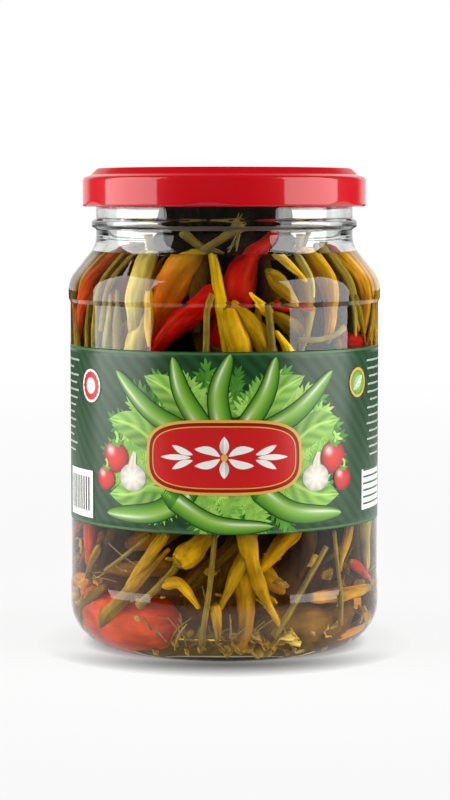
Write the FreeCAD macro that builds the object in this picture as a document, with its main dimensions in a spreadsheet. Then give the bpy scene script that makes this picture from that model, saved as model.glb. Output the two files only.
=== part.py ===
"""A 720 ml jar of pickled chilli peppers: glass jar with a six-start twist finish, steel lug lid
with its sealing compound, wrap-round paper label, brine, and the peppers that stand out of the brine.

The frame is +Z up, with the origin at the middle of the base. The front of the label faces -Y.
An azimuth is in degrees from the front, positive towards +X.
"""

import FreeCAD, Part
import math
import os

import Sketcher
from FreeCAD import Placement, Rotation, Vector

# ---------------------------------------------------------------- driving dimensions, millimetres
SIZES = (
    # the glass, from the base up
    ("push_up_height", 3.0, "rise of the underside at the middle"),
    ("push_up_slope", 5.0, "width of the slope from the raised underside down to the bearing ring"),
    ("bearing_width", 2.75, "width of the flat ring that the jar stands on"),
    ("heel_fillet", 13.0, "outside rounding from the base into the side"),
    ("ring_radius", 47.0, "outside radius of the ring that guards the label above"),
    ("heel_recess", 0.25, "how far the lower ring lies inside the upper one"),
    ("lower_ring_height", 18.4, "top of the lower guard ring above the base"),
    ("panel_recess", 0.55, "how far the label panel lies inside the upper ring"),
    ("panel_step", 2.6, "height of the blend from a ring to the panel"),
    ("panel_height", 81.4, "height of the label panel, with no blends"),
    ("upper_ring_height", 5.2, "from the upper blend to the shoulder corner"),
    ("shoulder_fillet", 8.3, "outside rounding of the shoulder corner"),
    ("shoulder_height", 10.5, "from the shoulder corner up to the neck corner"),
    ("neck_fillet", 8.4, "outside rounding of the neck corner"),
    ("neck_radius", 38.65, "outside radius of the neck, without its ridges"),
    ("bead_rise", 6.4, "from the neck corner to the middle of the transfer bead"),
    ("bead_depth", 1.35, "how far the transfer bead stands out of the neck"),
    ("bead_height", 3.2, "height of the transfer bead at its root"),
    ("finish_height", 14.5, "from the middle of the bead to the rim"),
    ("wall", 2.6, "thickness of the glass in the body"),
    ("neck_wall", 2.6, "thickness of the glass in the neck"),
    ("shoulder_drop", 0.95, "how far the inner shoulder lies under the outer one"),
    ("base_thickness", 4.2, "thickness of the glass at the base"),
    ("rim_fillet", 1.0, "rounding of the rim's two edges"),
    # the six sloping ridges of the twist finish
    ("ridge_depth", 2.05, "how far a ridge stands out of the neck"),
    ("ridge_half_height", 0.9, "half of a ridge's height at its root"),
    ("ridge_lead", 21.0, "rise of a ridge in one full turn"),
    ("ridge_start_drop", 10.4, "from the rim down to a ridge's lower end"),
    # the lid
    ("steel", 0.25, "thickness of the tinplate"),
    ("lid_clearance", 0.5, "between the ridges and the lid's curl"),
    ("compound_thickness", 1.75, "sealing compound over the rim"),
    ("crown_outer_inset", 0.45, "from the outside of the neck in to the crown's outer edge"),
    ("crown_inner_inset", 0.65, "from the bore in to the crown's inner edge"),
    ("crown_drop", 1.9, "from the crown down to the lid's shoulder"),
    ("crown_slope", 1.9, "width of the slope from the crown to the lid's shoulder"),
    ("shoulder_slope", 0.9, "fall of the lid's shoulder towards its edge"),
    ("lid_edge_fillet", 1.3, "rounding of the lid's upper edge"),
    ("centre_recess", 1.1, "depth of the centre panel below the crown"),
    ("button_radius", 13.0, "radius of the safety button"),
    ("button_depth", 0.7, "how far the vacuum holds the button down"),
    ("curl_width", 1.45, "radial width of the curl"),
    ("curl_height", 2.0, "height of the curl"),
    ("lug_width", 8.5, "width of a lug along the curl"),
    ("lug_height", 1.05, "thickness of a lug"),
    ("lug_rise", 0.12, "from the foot of the curl up to a lug"),
    ("lug_bite", 1.15, "how far a lug reaches in under its ridge"),
    ("lug_clearance", 0.15, "play between a lug and its ridge"),
    ("dent_depth", 0.7, "how deep the curl is pressed in outside each lug"),
    ("dent_height", 1.5, "height of that flat"),
    # the label, the brine and the peppers
    ("label_foot_gap", 17.9, "from the foot of the label panel up to the label"),
    ("label_head_gap", 11.25, "from the label up to the top of its panel"),
    ("label_thickness", 0.12, "thickness of the paper"),
    ("lap_width", 9.0, "overlap of the label's two ends at the back"),
    ("headspace", 24.4, "from the rim down to the brine"),
    ("stem_radius", 1.2, "radius of a pepper's stem"),
    ("pepper_clearance", 0.4, "least distance from a pepper to the glass"),
)
STARTS = 6  # ridges on the glass, and lugs on the lid
FIRST_RIDGE = -65.6  # azimuth of the first ridge's lower end, degrees
RIDGE_SWEEP = 66.0  # length of a ridge, degrees
LUG_FROM_START = 59.6  # from a ridge's lower end to the lug that bears on it, degrees

# Stations of a ridge: share of its sweep, and share of its full section there.
RIDGE_STATIONS = (
    (0.0, 0.30), (0.04, 0.80), (0.12, 1.0), (0.31, 1.0), (0.50, 1.0),
    (0.69, 1.0), (0.86, 1.0), (0.95, 0.75), (1.0, 0.30),
)  # fmt: skip

doc = FreeCAD.newDocument("pepper_jar")
sheet = doc.addObject("Spreadsheet::Sheet", "sizes")
for row, (alias, value, note) in enumerate(SIZES, 1):
    sheet.set(f"A{row}", note)
    sheet.set(f"B{row}", str(value))
    sheet.setAlias(f"B{row}", alias)
doc.recompute()


class Length:
    """A length that carries its value and the spreadsheet formula that it comes from."""

    def __init__(self, value, formula=None):
        self.value = float(value)
        self.formula = formula or repr(float(value))

    def __add__(self, other):
        other = as_length(other)
        return Length(self.value + other.value, f"({self.formula} + {other.formula})")

    def __sub__(self, other):
        other = as_length(other)
        return Length(self.value - other.value, f"({self.formula} - {other.formula})")

    def __mul__(self, factor):
        return Length(self.value * factor, f"({self.formula} * {factor!r})")


def as_length(number):
    return number if isinstance(number, Length) else Length(number)


def size(alias):
    return Length(sheet.get(alias), f"sizes.{alias}")


def bind(thing, path, length):
    """Sets a property or a constraint of thing from the spreadsheet."""
    thing.setExpression(path, length.formula)


# ---------------------------------------------------------------- heights and radii that pieces share
heel_radius = size("ring_radius") - size("heel_recess")
bearing_radius = heel_radius - size("heel_fillet") - size("bearing_width")
push_up_radius = bearing_radius - size("push_up_slope")
panel_radius = size("ring_radius") - size("panel_recess")
panel_bottom = size("lower_ring_height") + size("panel_step")
panel_top = panel_bottom + size("panel_height")
upper_ring = panel_top + size("panel_step")
shoulder_corner = upper_ring + size("upper_ring_height")
neck_corner = shoulder_corner + size("shoulder_height")
bead_middle = neck_corner + size("bead_rise")
bead_radius = size("neck_radius") + size("bead_depth")
rim = bead_middle + size("finish_height")
bore_radius = size("neck_radius") - size("neck_wall")
inside_radius = panel_radius - size("wall")
inside_shoulder = shoulder_corner - size("shoulder_drop")
inside_neck = neck_corner - size("shoulder_drop")
inside_base = size("push_up_height") + size("base_thickness")
heel_inside_fillet = size("heel_fillet") - size("wall")
brine_level = rim - size("headspace")

ridge_radius = size("neck_radius") + size("ridge_depth")
ridge_low = rim - size("ridge_start_drop")
curl_radius = ridge_radius + size("lid_clearance")
lid_radius = curl_radius + size("curl_width")
lid_inside_radius = lid_radius - size("steel")
crown_outer_radius = size("neck_radius") - size("crown_outer_inset")
crown_inner_radius = bore_radius - size("crown_inner_inset")
shoulder_inner_radius = crown_outer_radius + size("crown_slope")


def ridge_underside(azimuth_from_start):
    """Height of a ridge's underside at a lug's inner edge."""
    reach = 1 - size("lug_bite").value / size("ridge_depth").value
    half = size("ridge_half_height") * math.sqrt(1 - reach * reach)
    return ridge_low + size("ridge_lead") * (azimuth_from_start / 360) - half


# A lug hangs under its ridge, and the lid's curl is set by its lugs.
lug_half_turn = math.degrees(size("lug_width").value / 2 / curl_radius.value)
lug_top = ridge_underside(LUG_FROM_START - lug_half_turn) - size("lug_clearance")
lug_base = lug_top - size("lug_height")
lid_foot = lug_base - size("lug_rise")
curl_top = lid_foot + size("curl_height")
crown_under = rim + size("compound_thickness")
crown = crown_under + size("steel")
lid_shoulder = crown - size("crown_drop")
lid_edge = lid_shoulder - size("shoulder_slope")
centre_panel = crown - size("centre_recess")
button_top = centre_panel - size("button_depth")

label_bottom = panel_bottom + size("label_foot_gap")
label_top = panel_top - size("label_head_gap")


# ---------------------------------------------------------------- helpers
def new_body(label):
    body = doc.addObject("PartDesign::Body", label)
    body.Label = label
    return body


def origin_plane(body, role):
    return next(f for f in body.Origin.OriginFeatures if f.Role == role)


def new_sketch(body, name, role):
    sketch = body.newObject("Sketcher::SketchObject", name)
    sketch.AttachmentSupport = [(origin_plane(body, role), "")]
    sketch.MapMode = "FlatFace"
    return sketch


def pin_point(sketch, geometry, end, across, up):
    """Holds a point of the sketch at two bound distances from its origin."""
    for kind, axis, length in (("DistanceX", -2, across), ("DistanceY", -1, up)):
        if abs(length.value) < 1e-9:
            sketch.addConstraint(Sketcher.Constraint("PointOnObject", geometry, end, axis))
            continue
        made = Sketcher.Constraint(kind, -1, 1, geometry, end, length.value)
        index = sketch.addConstraint(made)
        bind(sketch, f"Constraints[{index}]", length)


def corner_round(before, corner, after, radius):
    """Where a rounding leaves its two sides, and its centre."""
    to_before = (before - corner).normalize()
    to_after = (after - corner).normalize()
    half = to_before.getAngle(to_after) / 2
    reach = radius / math.tan(half)
    middle = (to_before + to_after).normalize()
    return corner + to_before * reach, corner + to_after * reach, corner + middle * (radius / math.sin(half))


def draw_profile(sketch, corners):
    """A closed outline from (across, up, rounding or None) corners, in order, bound to the sheet."""
    across = [as_length(c[0]) for c in corners]
    up = [as_length(c[1]) for c in corners]
    rounding = [c[2] if len(c) > 2 else None for c in corners]
    count = len(corners)
    points = [Vector(across[i].value, up[i].value, 0) for i in range(count)]
    leave, arrive, centres = list(points), list(points), [None] * count
    for i in range(count):
        if rounding[i] is not None:
            arrive[i], leave[i], centres[i] = corner_round(
                points[i - 1], points[i], points[(i + 1) % count], rounding[i].value
            )
    sides = []
    for i in range(count):
        side = Part.LineSegment(leave[i], arrive[(i + 1) % count])
        sides.append(sketch.addGeometry(side, False))
    for i in range(count):
        before, after = sides[i - 1], sides[i]
        if rounding[i] is None:
            sketch.addConstraint(Sketcher.Constraint("Coincident", before, 2, after, 1))
            pin_point(sketch, after, 1, across[i], up[i])
            continue
        add_round(sketch, before, after, arrive[i], leave[i], centres[i], rounding[i])
        corner = sketch.addGeometry(Part.Point(points[i]), True)
        for side in (before, after):
            sketch.addConstraint(Sketcher.Constraint("PointOnObject", corner, 1, side))
        pin_point(sketch, corner, 1, across[i], up[i])


def add_round(sketch, before, after, arrive, leave, centre, radius):
    """The arc of a rounded corner, tangent to the sides on each side of it."""
    start = math.atan2(arrive.y - centre.y, arrive.x - centre.x)
    stop = math.atan2(leave.y - centre.y, leave.x - centre.x)
    turn = (stop - start) % (2 * math.pi)
    forward = turn < math.pi
    first, last = (start, stop) if forward else (stop, start)
    if last < first:
        last += 2 * math.pi
    circle = Part.Circle(centre, Vector(0, 0, 1), radius.value)
    arc = sketch.addGeometry(Part.ArcOfCircle(circle, first, last), False)
    begin, end = (1, 2) if forward else (2, 1)
    sketch.addConstraint(Sketcher.Constraint("Tangent", before, 2, arc, begin))
    sketch.addConstraint(Sketcher.Constraint("Tangent", arc, end, after, 1))
    index = sketch.addConstraint(Sketcher.Constraint("Radius", arc, radius.value))
    bind(sketch, f"Constraints[{index}]", radius)


def revolve(body, name, role, corners, angle=None):
    """A turned feature from a profile whose first axis is the radius and second the height."""
    sketch = new_sketch(body, name + "_profile", role)
    draw_profile(sketch, corners)
    turned = body.newObject("PartDesign::Revolution", name)
    turned.Profile = sketch
    turned.ReferenceAxis = (sketch, ["V_Axis"])
    turned.Angle = 360 if angle is None else angle
    turned.Midplane = angle is not None
    sketch.Visibility = False
    return turned


def polar(body, name, feature):
    """Repeats a feature once for each ridge of the glass."""
    pattern = body.newObject("PartDesign::PolarPattern", name)
    pattern.Originals = [feature]
    pattern.Axis = (origin_plane(body, "Z_Axis"), [""])
    pattern.Angle = 360
    pattern.Occurrences = STARTS
    body.Tip = pattern
    return pattern


def around(azimuth, radius, height):
    """The point at an azimuth, a radius and a height."""
    turn = math.radians(azimuth)
    return Vector(radius * math.sin(turn), -radius * math.cos(turn), height)


# ---------------------------------------------------------------- the glass jar
def glass_profile():
    half_bead = size("bead_height") * 0.5
    shelf = size("bead_height") * 0.25
    bead_round = size("bead_depth") * 0.35
    return (
        (0, size("push_up_height")),
        (push_up_radius, size("push_up_height")),
        (bearing_radius, 0),
        (heel_radius, 0, size("heel_fillet")),
        (heel_radius, size("lower_ring_height")),
        (panel_radius, panel_bottom),
        (panel_radius, panel_top),
        (size("ring_radius"), upper_ring),
        (size("ring_radius"), shoulder_corner, size("shoulder_fillet")),
        (size("neck_radius"), neck_corner, size("neck_fillet")),
        (size("neck_radius"), bead_middle - half_bead),
        (bead_radius, bead_middle - shelf, bead_round),
        (bead_radius, bead_middle + shelf, bead_round),
        (size("neck_radius"), bead_middle + half_bead),
        (size("neck_radius"), rim, size("rim_fillet")),
        (bore_radius, rim, size("rim_fillet")),
        *reversed(inside_profile()),
    )


def inside_profile():
    """The inner face of the glass, from the middle of the base up to the neck."""
    return (
        (0, inside_base),
        (push_up_radius, inside_base),
        (bearing_radius, size("base_thickness")),
        (inside_radius, size("base_thickness"), heel_inside_fillet),
        (inside_radius, inside_shoulder, size("shoulder_fillet") - size("wall")),
        (bore_radius, inside_neck, size("neck_fillet") + size("neck_wall")),
    )


def ridge(index):
    """One sloping ridge: half-ellipse sections along a helix, tapering into the neck at both ends."""
    sections = []
    for share, full in RIDGE_STATIONS:
        sweep = RIDGE_SWEEP * share
        azimuth = FIRST_RIDGE + index * 360 / STARTS + sweep
        height = ridge_low + size("ridge_lead") * (sweep / 360)
        section = doc.addObject("Part::Ellipse", f"ridge_{index + 1}_section")
        bind(section, "MajorRadius", size("ridge_depth") * full)
        bind(section, "MinorRadius", size("ridge_half_height") * full)
        upright = Rotation(Vector(0, 0, 1), azimuth - 90) * Rotation(Vector(1, 0, 0), 90)
        section.Placement = Placement(around(azimuth, size("neck_radius").value, height.value), upright)
        section.Visibility = False
        sections.append(section)
    loft = doc.addObject("Part::Loft", f"ridge_{index + 1}")
    loft.Sections = sections
    loft.Solid = True
    return loft


def make_jar():
    glass = new_body("glass")
    revolve(glass, "blown_shape", "XZ_Plane", glass_profile())
    jar = doc.addObject("Part::MultiFuse", "jar")
    jar.Label = "jar"
    jar.Shapes = [glass] + [ridge(i) for i in range(STARTS)]
    return jar


# ---------------------------------------------------------------- the lid
def lid_profile():
    steel = size("steel")
    rise = size("centre_recess")
    bevel = size("button_depth") * 3
    outside = (
        (0, button_top),
        (size("button_radius") - bevel, button_top),
        (size("button_radius"), centre_panel),
        (crown_inner_radius - rise, centre_panel),
        (crown_inner_radius, crown),
        (crown_outer_radius, crown),
        (shoulder_inner_radius, lid_shoulder),
        (lid_radius, lid_edge, size("lid_edge_fillet")),
        (lid_radius, lid_foot, size("curl_width") * 0.45),
        (curl_radius, lid_foot, size("curl_width") * 0.45),
        (curl_radius, curl_top, size("curl_width") * 0.3),
        (lid_inside_radius, curl_top + size("curl_width") * 0.4),
    )
    inside = (
        (lid_inside_radius, lid_edge - steel, size("lid_edge_fillet") - steel),
        (shoulder_inner_radius, lid_shoulder - steel),
        (crown_outer_radius, crown_under),
        (crown_inner_radius, crown_under),
        (crown_inner_radius - rise, centre_panel - steel),
        (size("button_radius"), centre_panel - steel),
        (size("button_radius") - bevel, button_top - steel),
        (0, button_top - steel),
    )
    return outside + inside


def make_lid():
    lid = new_body("lid")
    revolve(lid, "pressed_shape", "XZ_Plane", lid_profile())
    doc.recompute()

    # The flat that forming a lug presses into the outside of the curl.
    dent_profile = new_sketch(lid, "dent_profile", "XZ_Plane")
    beyond = lid_radius + 1.0
    draw_profile(
        dent_profile,
        (
            (lid_radius - size("dent_depth"), lid_foot),
            (lid_radius, lid_foot + size("dent_height")),
            (beyond, lid_foot + size("dent_height")),
            (beyond, lid_foot - 1.0),
            (lid_radius - size("dent_depth") - 0.4, lid_foot - 1.0),
        ),
    )
    dent = lid.newObject("PartDesign::Pocket", "dent")
    dent.Profile = dent_profile
    dent.Type = "Length"
    dent.Midplane = True
    bind(dent, "Length", lid_radius)
    polar(lid, "dents", dent)
    doc.recompute()

    # The lug itself: a tab from the curl in under the ridge.
    lug_profile = new_sketch(lid, "lug_profile", "XZ_Plane")
    into_curl = curl_radius + size("curl_width") * 0.5
    draw_profile(
        lug_profile,
        (
            (ridge_radius - size("lug_bite"), lug_base, size("lug_height") * 0.3),
            (into_curl, lug_base),
            (into_curl, lug_top),
            (ridge_radius - size("lug_bite"), lug_top, size("lug_height") * 0.3),
        ),
    )
    lug = lid.newObject("PartDesign::Pad", "lug")
    lug.Profile = lug_profile
    lug.Midplane = True
    bind(lug, "Length", size("lug_width"))
    polar(lid, "lugs", lug)
    # The features are drawn at +X; the lid is turned so that its first lug bears on the first ridge.
    lid.Placement = Placement(Vector(), Rotation(Vector(0, 0, 1), FIRST_RIDGE + LUG_FROM_START - 90))
    return lid


def make_compound():
    """The ring of sealing compound in the lid's channel, pressed face to face on the rim."""
    ring = new_body("sealing_compound")
    side = (shoulder_inner_radius - crown_outer_radius) * (
        size("compound_thickness").value / size("crown_drop").value
    )
    revolve(
        ring,
        "poured_ring",
        "XZ_Plane",
        (
            (crown_inner_radius, rim),
            (crown_outer_radius + side, rim),
            (crown_outer_radius, crown_under),
            (crown_inner_radius, crown_under),
        ),
    )
    return ring


# ---------------------------------------------------------------- the label
def make_label():
    label = new_body("label")
    outside = panel_radius + size("label_thickness")
    lap_outside = outside + size("label_thickness")
    revolve(
        label,
        "sleeve",
        "XZ_Plane",
        (
            (panel_radius, label_bottom),
            (outside, label_bottom),
            (outside, label_top),
            (panel_radius, label_top),
        ),
    )
    doc.recompute()
    lap_angle = math.degrees(size("lap_width").value / outside.value)
    half = panel_radius + size("label_thickness") * 0.5
    revolve(
        label,
        "lap",
        "YZ_Plane",
        (
            (half, label_bottom),
            (lap_outside, label_bottom),
            (lap_outside, label_top),
            (half, label_top),
        ),
        angle=lap_angle,
    )
    return label


# ---------------------------------------------------------------- the peppers that break the surface
# A pod's outline: share of its length from the calyx, and its radius there as a share of its widest.
POD_OUTLINE = (
    (0.03, 0.50), (0.08, 0.76), (0.17, 0.93), (0.29, 1.0), (0.44, 0.98), (0.59, 0.90),
    (0.73, 0.74), (0.86, 0.52), (0.95, 0.30), (1.0, 0.12),
)  # fmt: skip

# A stem's outline: share of its length from its cut end, and its radius there as a share of the stem's.
STEM_OUTLINE = ((0.0, 1.2), (0.25, 0.95), (0.6, 1.0), (0.93, 1.2))

BEND_STEP = 0.08  # share of a pepper's length to each side over which its bend is taken

# Each pepper: name, pod radius, the stem's share of the length, and the stem's cut end, the middle and the
# pod's tip on its centre line, each as (azimuth, inset from the glass, height above the brine).
PEPPERS = (
    ("pepper_red_left", 3.4, 0.14, (-50, 4.6, 4.5), (-67, 4.3, -8.7), (-80, 4.4, -26)),
    ("pepper_pale_left", 3.6, 0.24, (-41, 4.4, 7.5), (-37.5, 4.3, -7), (-40, 4.6, -26)),
    ("pepper_stem_left", 4.0, 0.34, (-24, 7, 8.5), (-13, 15.5, -4), (-10, 19, -40)),
    ("pepper_orange_left", 5.1, 0.42, (9.5, 7, 10.5), (-17, 6.6, -3), (-32, 6.6, -24)),
    ("pepper_yellow_front", 3.3, 0.15, (7, 7.5, -44), (1, 4.4, -18), (-6.4, 3.7, 1)),
    ("pepper_red_long", 4.6, 0.15, (-2, 13, -26), (10, 8.6, -7), (26, 5.8, 7.5)),
    ("pepper_orange_right", 3.2, 0.20, (41, 4.2, 7.5), (46.5, 4, -10), (45, 4.2, -25)),
    ("pepper_olive_right", 1.9, 0.12, (53.5, 3.4, 4), (59, 3.2, -8), (61.5, 3.2, -24)),
    ("pepper_red_far_right", 4.2, 0.14, (102, 4.6, 6), (97, 5.4, -16), (104, 6, -48)),
    ("pepper_yellow_back_right", 4.4, 0.16, (143, 4.2, 6.5), (132, 5.6, -16), (138, 6, -48)),
    ("pepper_orange_back", 4.5, 0.14, (-173, 5.4, 4.5), (173, 6.2, -16), (166, 6.2, -50)),
    ("pepper_green_back_left", 4.3, 0.16, (-147, 4.4, 7), (-140, 6.2, -14), (-147, 6, -46)),
    ("pepper_yellow_far_left", 4.2, 0.15, (-114, 4.6, 6), (-107, 5.4, -16), (-114, 6, -48)),
    ("pepper_dark_left", 4.4, 0.12, (-134, 18, -26), (-137, 12.5, -4), (-139, 6.4, 14.5)),
    ("pepper_dark_back_left", 4.4, 0.12, (-155, 18, -26), (-157.5, 12.5, -4), (-159, 6.4, 15)),
    ("pepper_dark_back", 4.6, 0.12, (-180, 18, -26), (-179.5, 12.5, -4), (-179.5, 6.6, 16)),
    ("pepper_dark_back_right", 4.4, 0.12, (156, 18, -26), (158.5, 12.5, -4), (159, 6.4, 15.5)),
    ("pepper_dark_right", 4.4, 0.12, (135, 18, -26), (137, 12.5, -4), (138.5, 6.4, 14)),
    ("pepper_dark_inner_left", 4.0, 0.12, (-158, 29, -27), (-160, 20, -5), (-166, 15, 12)),
    ("pepper_dark_inner_right", 4.0, 0.12, (158, 29, -27), (160, 20, -5), (166, 15, 12)),
)


def within_glass(inset, height):
    """Radius of a point that lies a given distance in from the side, the shoulder and the neck."""
    slope = (inside_radius - bore_radius).value / (inside_neck - inside_shoulder).value
    shoulder = inside_radius.value - (height - inside_shoulder.value) * slope
    under_shoulder = shoulder - inset * math.hypot(1, slope)
    return max(min(inside_radius.value - inset, under_shoulder), bore_radius.value - inset)


def pepper_point(where):
    """A centre-line point from its azimuth, inset from the glass and height above the brine."""
    azimuth, inset, rise = where
    height = brine_level.value + rise
    return around(azimuth, within_glass(inset, height), height)


def pepper_section(label, place, along):
    """A circle across the centre line, with its seam on the side that faces the glass."""
    section = doc.addObject("Part::Circle", label + "_section")
    outward = Vector(place.x, place.y, 0)
    section.Placement = Placement(place, Rotation(outward, Vector(), along, "ZXY"))
    section.Visibility = False
    return section


def make_pepper(label, pod_radius, stem_share, stem_end, middle, tip):
    """A chilli lofted through circles along a bent centre line, from the cut end of its stem."""
    first, through, last = (pepper_point(p) for p in (stem_end, middle, tip))
    control = through * 2 - (first + last) * 0.5

    def place_at(share):
        rest = 1 - share
        place = first * (rest * rest) + control * (2 * rest * share) + last * (share * share)
        limit = within_glass(pod_radius + size("pepper_clearance").value, place.z)
        inwards = min(1.0, limit / math.hypot(place.x, place.y))
        return Vector(place.x * inwards, place.y * inwards, place.z)

    def section_at(share):
        along = place_at(share + BEND_STEP) - place_at(share - BEND_STEP)
        return pepper_section(label, place_at(share), along)

    sections = []
    for share, full in STEM_OUTLINE:
        section = section_at(share * stem_share)
        bind(section, "Radius", size("stem_radius") * full)
        sections.append(section)
    for share, full in POD_OUTLINE:
        section = section_at(stem_share + (1 - stem_share) * share)
        section.Radius = pod_radius * full
        sections.append(section)
    pepper = doc.addObject("Part::Loft", label)
    pepper.Label = label
    pepper.Sections = sections
    pepper.Solid = True
    pepper.MaxDegree = 3  # a higher degree swells between the sections
    return pepper


# ---------------------------------------------------------------- the brine
def make_brine(peppers):
    """The liquid, face to face with the glass up to its level, cut round the peppers that stand out of it."""
    inside = new_body("inside_of_the_glass")
    revolve(inside, "inside_shape", "XZ_Plane", (*inside_profile(), (bore_radius, rim), (0, rim)))
    under_level = doc.addObject("Part::Cylinder", "under_the_level")
    bind(under_level, "Radius", size("ring_radius"))
    bind(under_level, "Height", brine_level)
    liquid = doc.addObject("Part::Common", "liquid")
    liquid.Base = inside
    liquid.Tool = under_level
    standing = doc.addObject("Part::MultiFuse", "standing_peppers")
    standing.Shapes = peppers
    brine = doc.addObject("Part::Cut", "brine")
    brine.Label = "brine"
    brine.Base = liquid
    brine.Tool = standing
    return brine


def check_and_write(parts):
    failed = [o.Name for o in doc.Objects if {"Invalid", "Error"} & set(o.State)]
    if failed:
        raise RuntimeError(f"these objects failed: {failed}")
    for part in parts:
        if part.Shape.isNull() or not part.Shape.isValid() or not part.Shape.Solids:
            raise RuntimeError(f"{part.Label} has no valid solid")
    os.makedirs("parts", exist_ok=True)
    for part in parts:
        part.Shape.exportStep(os.path.join("parts", part.Label + ".step"))
        print(f"{part.Label}: {len(part.Shape.Solids)} solid, {part.Shape.Volume / 1000:.2f} cm3")


peppers = [make_pepper(*pepper) for pepper in PEPPERS]
parts = [make_jar(), make_lid(), make_compound(), make_label(), make_brine(peppers), *peppers]
doc.recompute()
check_and_write(parts)
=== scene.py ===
"""A jar of pickled chilli peppers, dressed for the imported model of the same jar.

Lengths are written in millimetres and turned into metres when a mesh is made. An azimuth is in degrees
from the front of the jar, positive to its right. An inset is measured inwards from the inside of the glass.
"""

import itertools
import math
import random

import bpy
from mathutils import Matrix, Vector, noise


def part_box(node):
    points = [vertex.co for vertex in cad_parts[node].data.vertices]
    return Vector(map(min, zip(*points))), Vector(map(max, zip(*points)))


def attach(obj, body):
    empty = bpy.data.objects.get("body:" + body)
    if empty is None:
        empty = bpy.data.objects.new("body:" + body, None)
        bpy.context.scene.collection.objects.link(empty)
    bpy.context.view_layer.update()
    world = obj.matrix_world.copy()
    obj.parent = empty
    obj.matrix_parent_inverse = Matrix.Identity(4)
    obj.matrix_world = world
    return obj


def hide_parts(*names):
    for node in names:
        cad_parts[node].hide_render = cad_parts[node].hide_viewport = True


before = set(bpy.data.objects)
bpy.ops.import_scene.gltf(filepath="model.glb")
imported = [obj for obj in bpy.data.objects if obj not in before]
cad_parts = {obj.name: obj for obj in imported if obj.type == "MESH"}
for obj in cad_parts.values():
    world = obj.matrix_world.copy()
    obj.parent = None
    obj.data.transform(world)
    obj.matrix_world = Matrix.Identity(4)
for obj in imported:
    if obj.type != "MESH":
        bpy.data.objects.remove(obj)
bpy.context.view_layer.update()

MM = 0.001
TAU = 2 * math.pi
Z = Vector((0, 0, 1))
RANDOM_SEED = 720
rng = random.Random(RANDOM_SEED)


# ---------------------------------------------------------------- sizes, from the frame where it has them
def box_mm(node):
    low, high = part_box(node)
    return [value / MM for value in low], [value / MM for value in high]


RIM = box_mm("jar")[1][2]
RING_RADIUS = box_mm("jar")[1][0]
BRINE_LEVEL = box_mm("brine")[1][2]
INSIDE_RADIUS = box_mm("brine")[1][0]
LABEL_LOW = box_mm("label")[0][2]
LABEL_HIGH = box_mm("label")[1][2]
LABEL_RADIUS = box_mm("label")[1][0]
LID_RADIUS = box_mm("lid")[1][0]
LID_FOOT = box_mm("lid")[0][2]
CROWN = box_mm("lid")[1][2]

PANEL_RADIUS = 46.45
HEEL_RADIUS = 46.75
NECK_RADIUS = 38.65
BORE_RADIUS = 36.05
HEEL_FILLET = 13.0
WALL = PANEL_RADIUS - INSIDE_RADIUS
INSIDE_FILLET = HEEL_FILLET - WALL
BASE_TOP = 4.2
PUSH_UP_TOP = 7.2
SHOULDER_CORNER = 110.2
NECK_CORNER = 120.7
SHOULDER_DROP = 0.95
BEAD_MIDDLE = 127.1
BEAD_RADIUS = 40.0


# ---------------------------------------------------------------- mesh helpers
def new_object(name, vertices, faces, smooth=True, colours=None, grain=None):
    """A mesh object from points in mm. Colours, one for each point, go into the attribute skin, and
    places in a pod's own skin go into the attribute grain."""
    mesh = bpy.data.meshes.new(name)
    mesh.from_pydata([tuple(c * MM for c in v) for v in vertices], [], faces)
    mesh.update()
    if smooth:
        mesh.shade_smooth()
    if colours:
        layer = mesh.color_attributes.new("skin", "FLOAT_COLOR", "POINT")
        for item, colour in zip(layer.data, colours):
            item.color = (*colour, 1.0)
    if grain:
        layer = mesh.attributes.new("grain", "FLOAT_VECTOR", "POINT")
        for item, spot in zip(layer.data, grain):
            item.vector = spot
    return in_scene(name, mesh)


def in_scene(name, data):
    """An object that shows a mesh, a lamp or a camera."""
    made = bpy.data.objects.new(name, data)
    bpy.context.scene.collection.objects.link(made)
    return made


def finish_piece(piece, materials, slot, *nodes):
    """Gives a piece its materials, its body and the CAD nodes that it stands for; slot is not used."""
    for material in materials:
        piece.data.materials.append(material)
    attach(piece, "root")
    if nodes:
        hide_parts(*nodes)


def around(azimuth, radius, height):
    turn = math.radians(azimuth)
    return Vector((radius * math.sin(turn), -radius * math.cos(turn), height))


def rounded(corners, step=6.0):
    """Points along a path of (radius, height, rounding) corners; a rounding of 0 keeps the corner sharp."""
    points = []
    for i, (across, up, rounding) in enumerate(corners):
        corner = Vector((across, up))
        if not rounding or i in (0, len(corners) - 1):
            points.append(corner)
            continue
        before = (Vector(corners[i - 1][:2]) - corner).normalized()
        after = (Vector(corners[i + 1][:2]) - corner).normalized()
        half = before.angle(after) / 2
        reach = rounding / math.tan(half)
        centre = corner + (before + after).normalized() * (rounding / math.sin(half))
        first, last = corner + before * reach, corner + after * reach
        start = math.atan2(first.y - centre.y, first.x - centre.x)
        turn = math.atan2(last.y - centre.y, last.x - centre.x) - start
        turn = (turn + math.pi) % TAU - math.pi
        count = max(2, math.ceil(abs(math.degrees(turn)) / step))
        for k in range(count + 1):
            angle = start + turn * k / count
            points.append(centre + Vector((math.cos(angle), math.sin(angle))) * rounding)
    return points


def subdivided(points, longest, low, high):
    """The same path with no step longer than longest between two heights."""
    path = [points[0]]
    for a, b in zip(points, points[1:]):
        count = 1
        if low <= min(a.y, b.y) and max(a.y, b.y) <= high:
            count = max(1, math.ceil((b - a).length / longest))
        path.extend(a.lerp(b, k / count) for k in range(1, count + 1))
    return path


def ring_quads(first, rings, sides):
    """The faces between rings of points that follow one another, from the point numbered first."""
    quads = []
    for a in range(first, first + (rings - 1) * sides, sides):
        for k in range(sides):
            n = (k + 1) % sides
            quads.append((a + k, a + n, a + sides + n, a + sides + k))
    return quads


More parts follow.
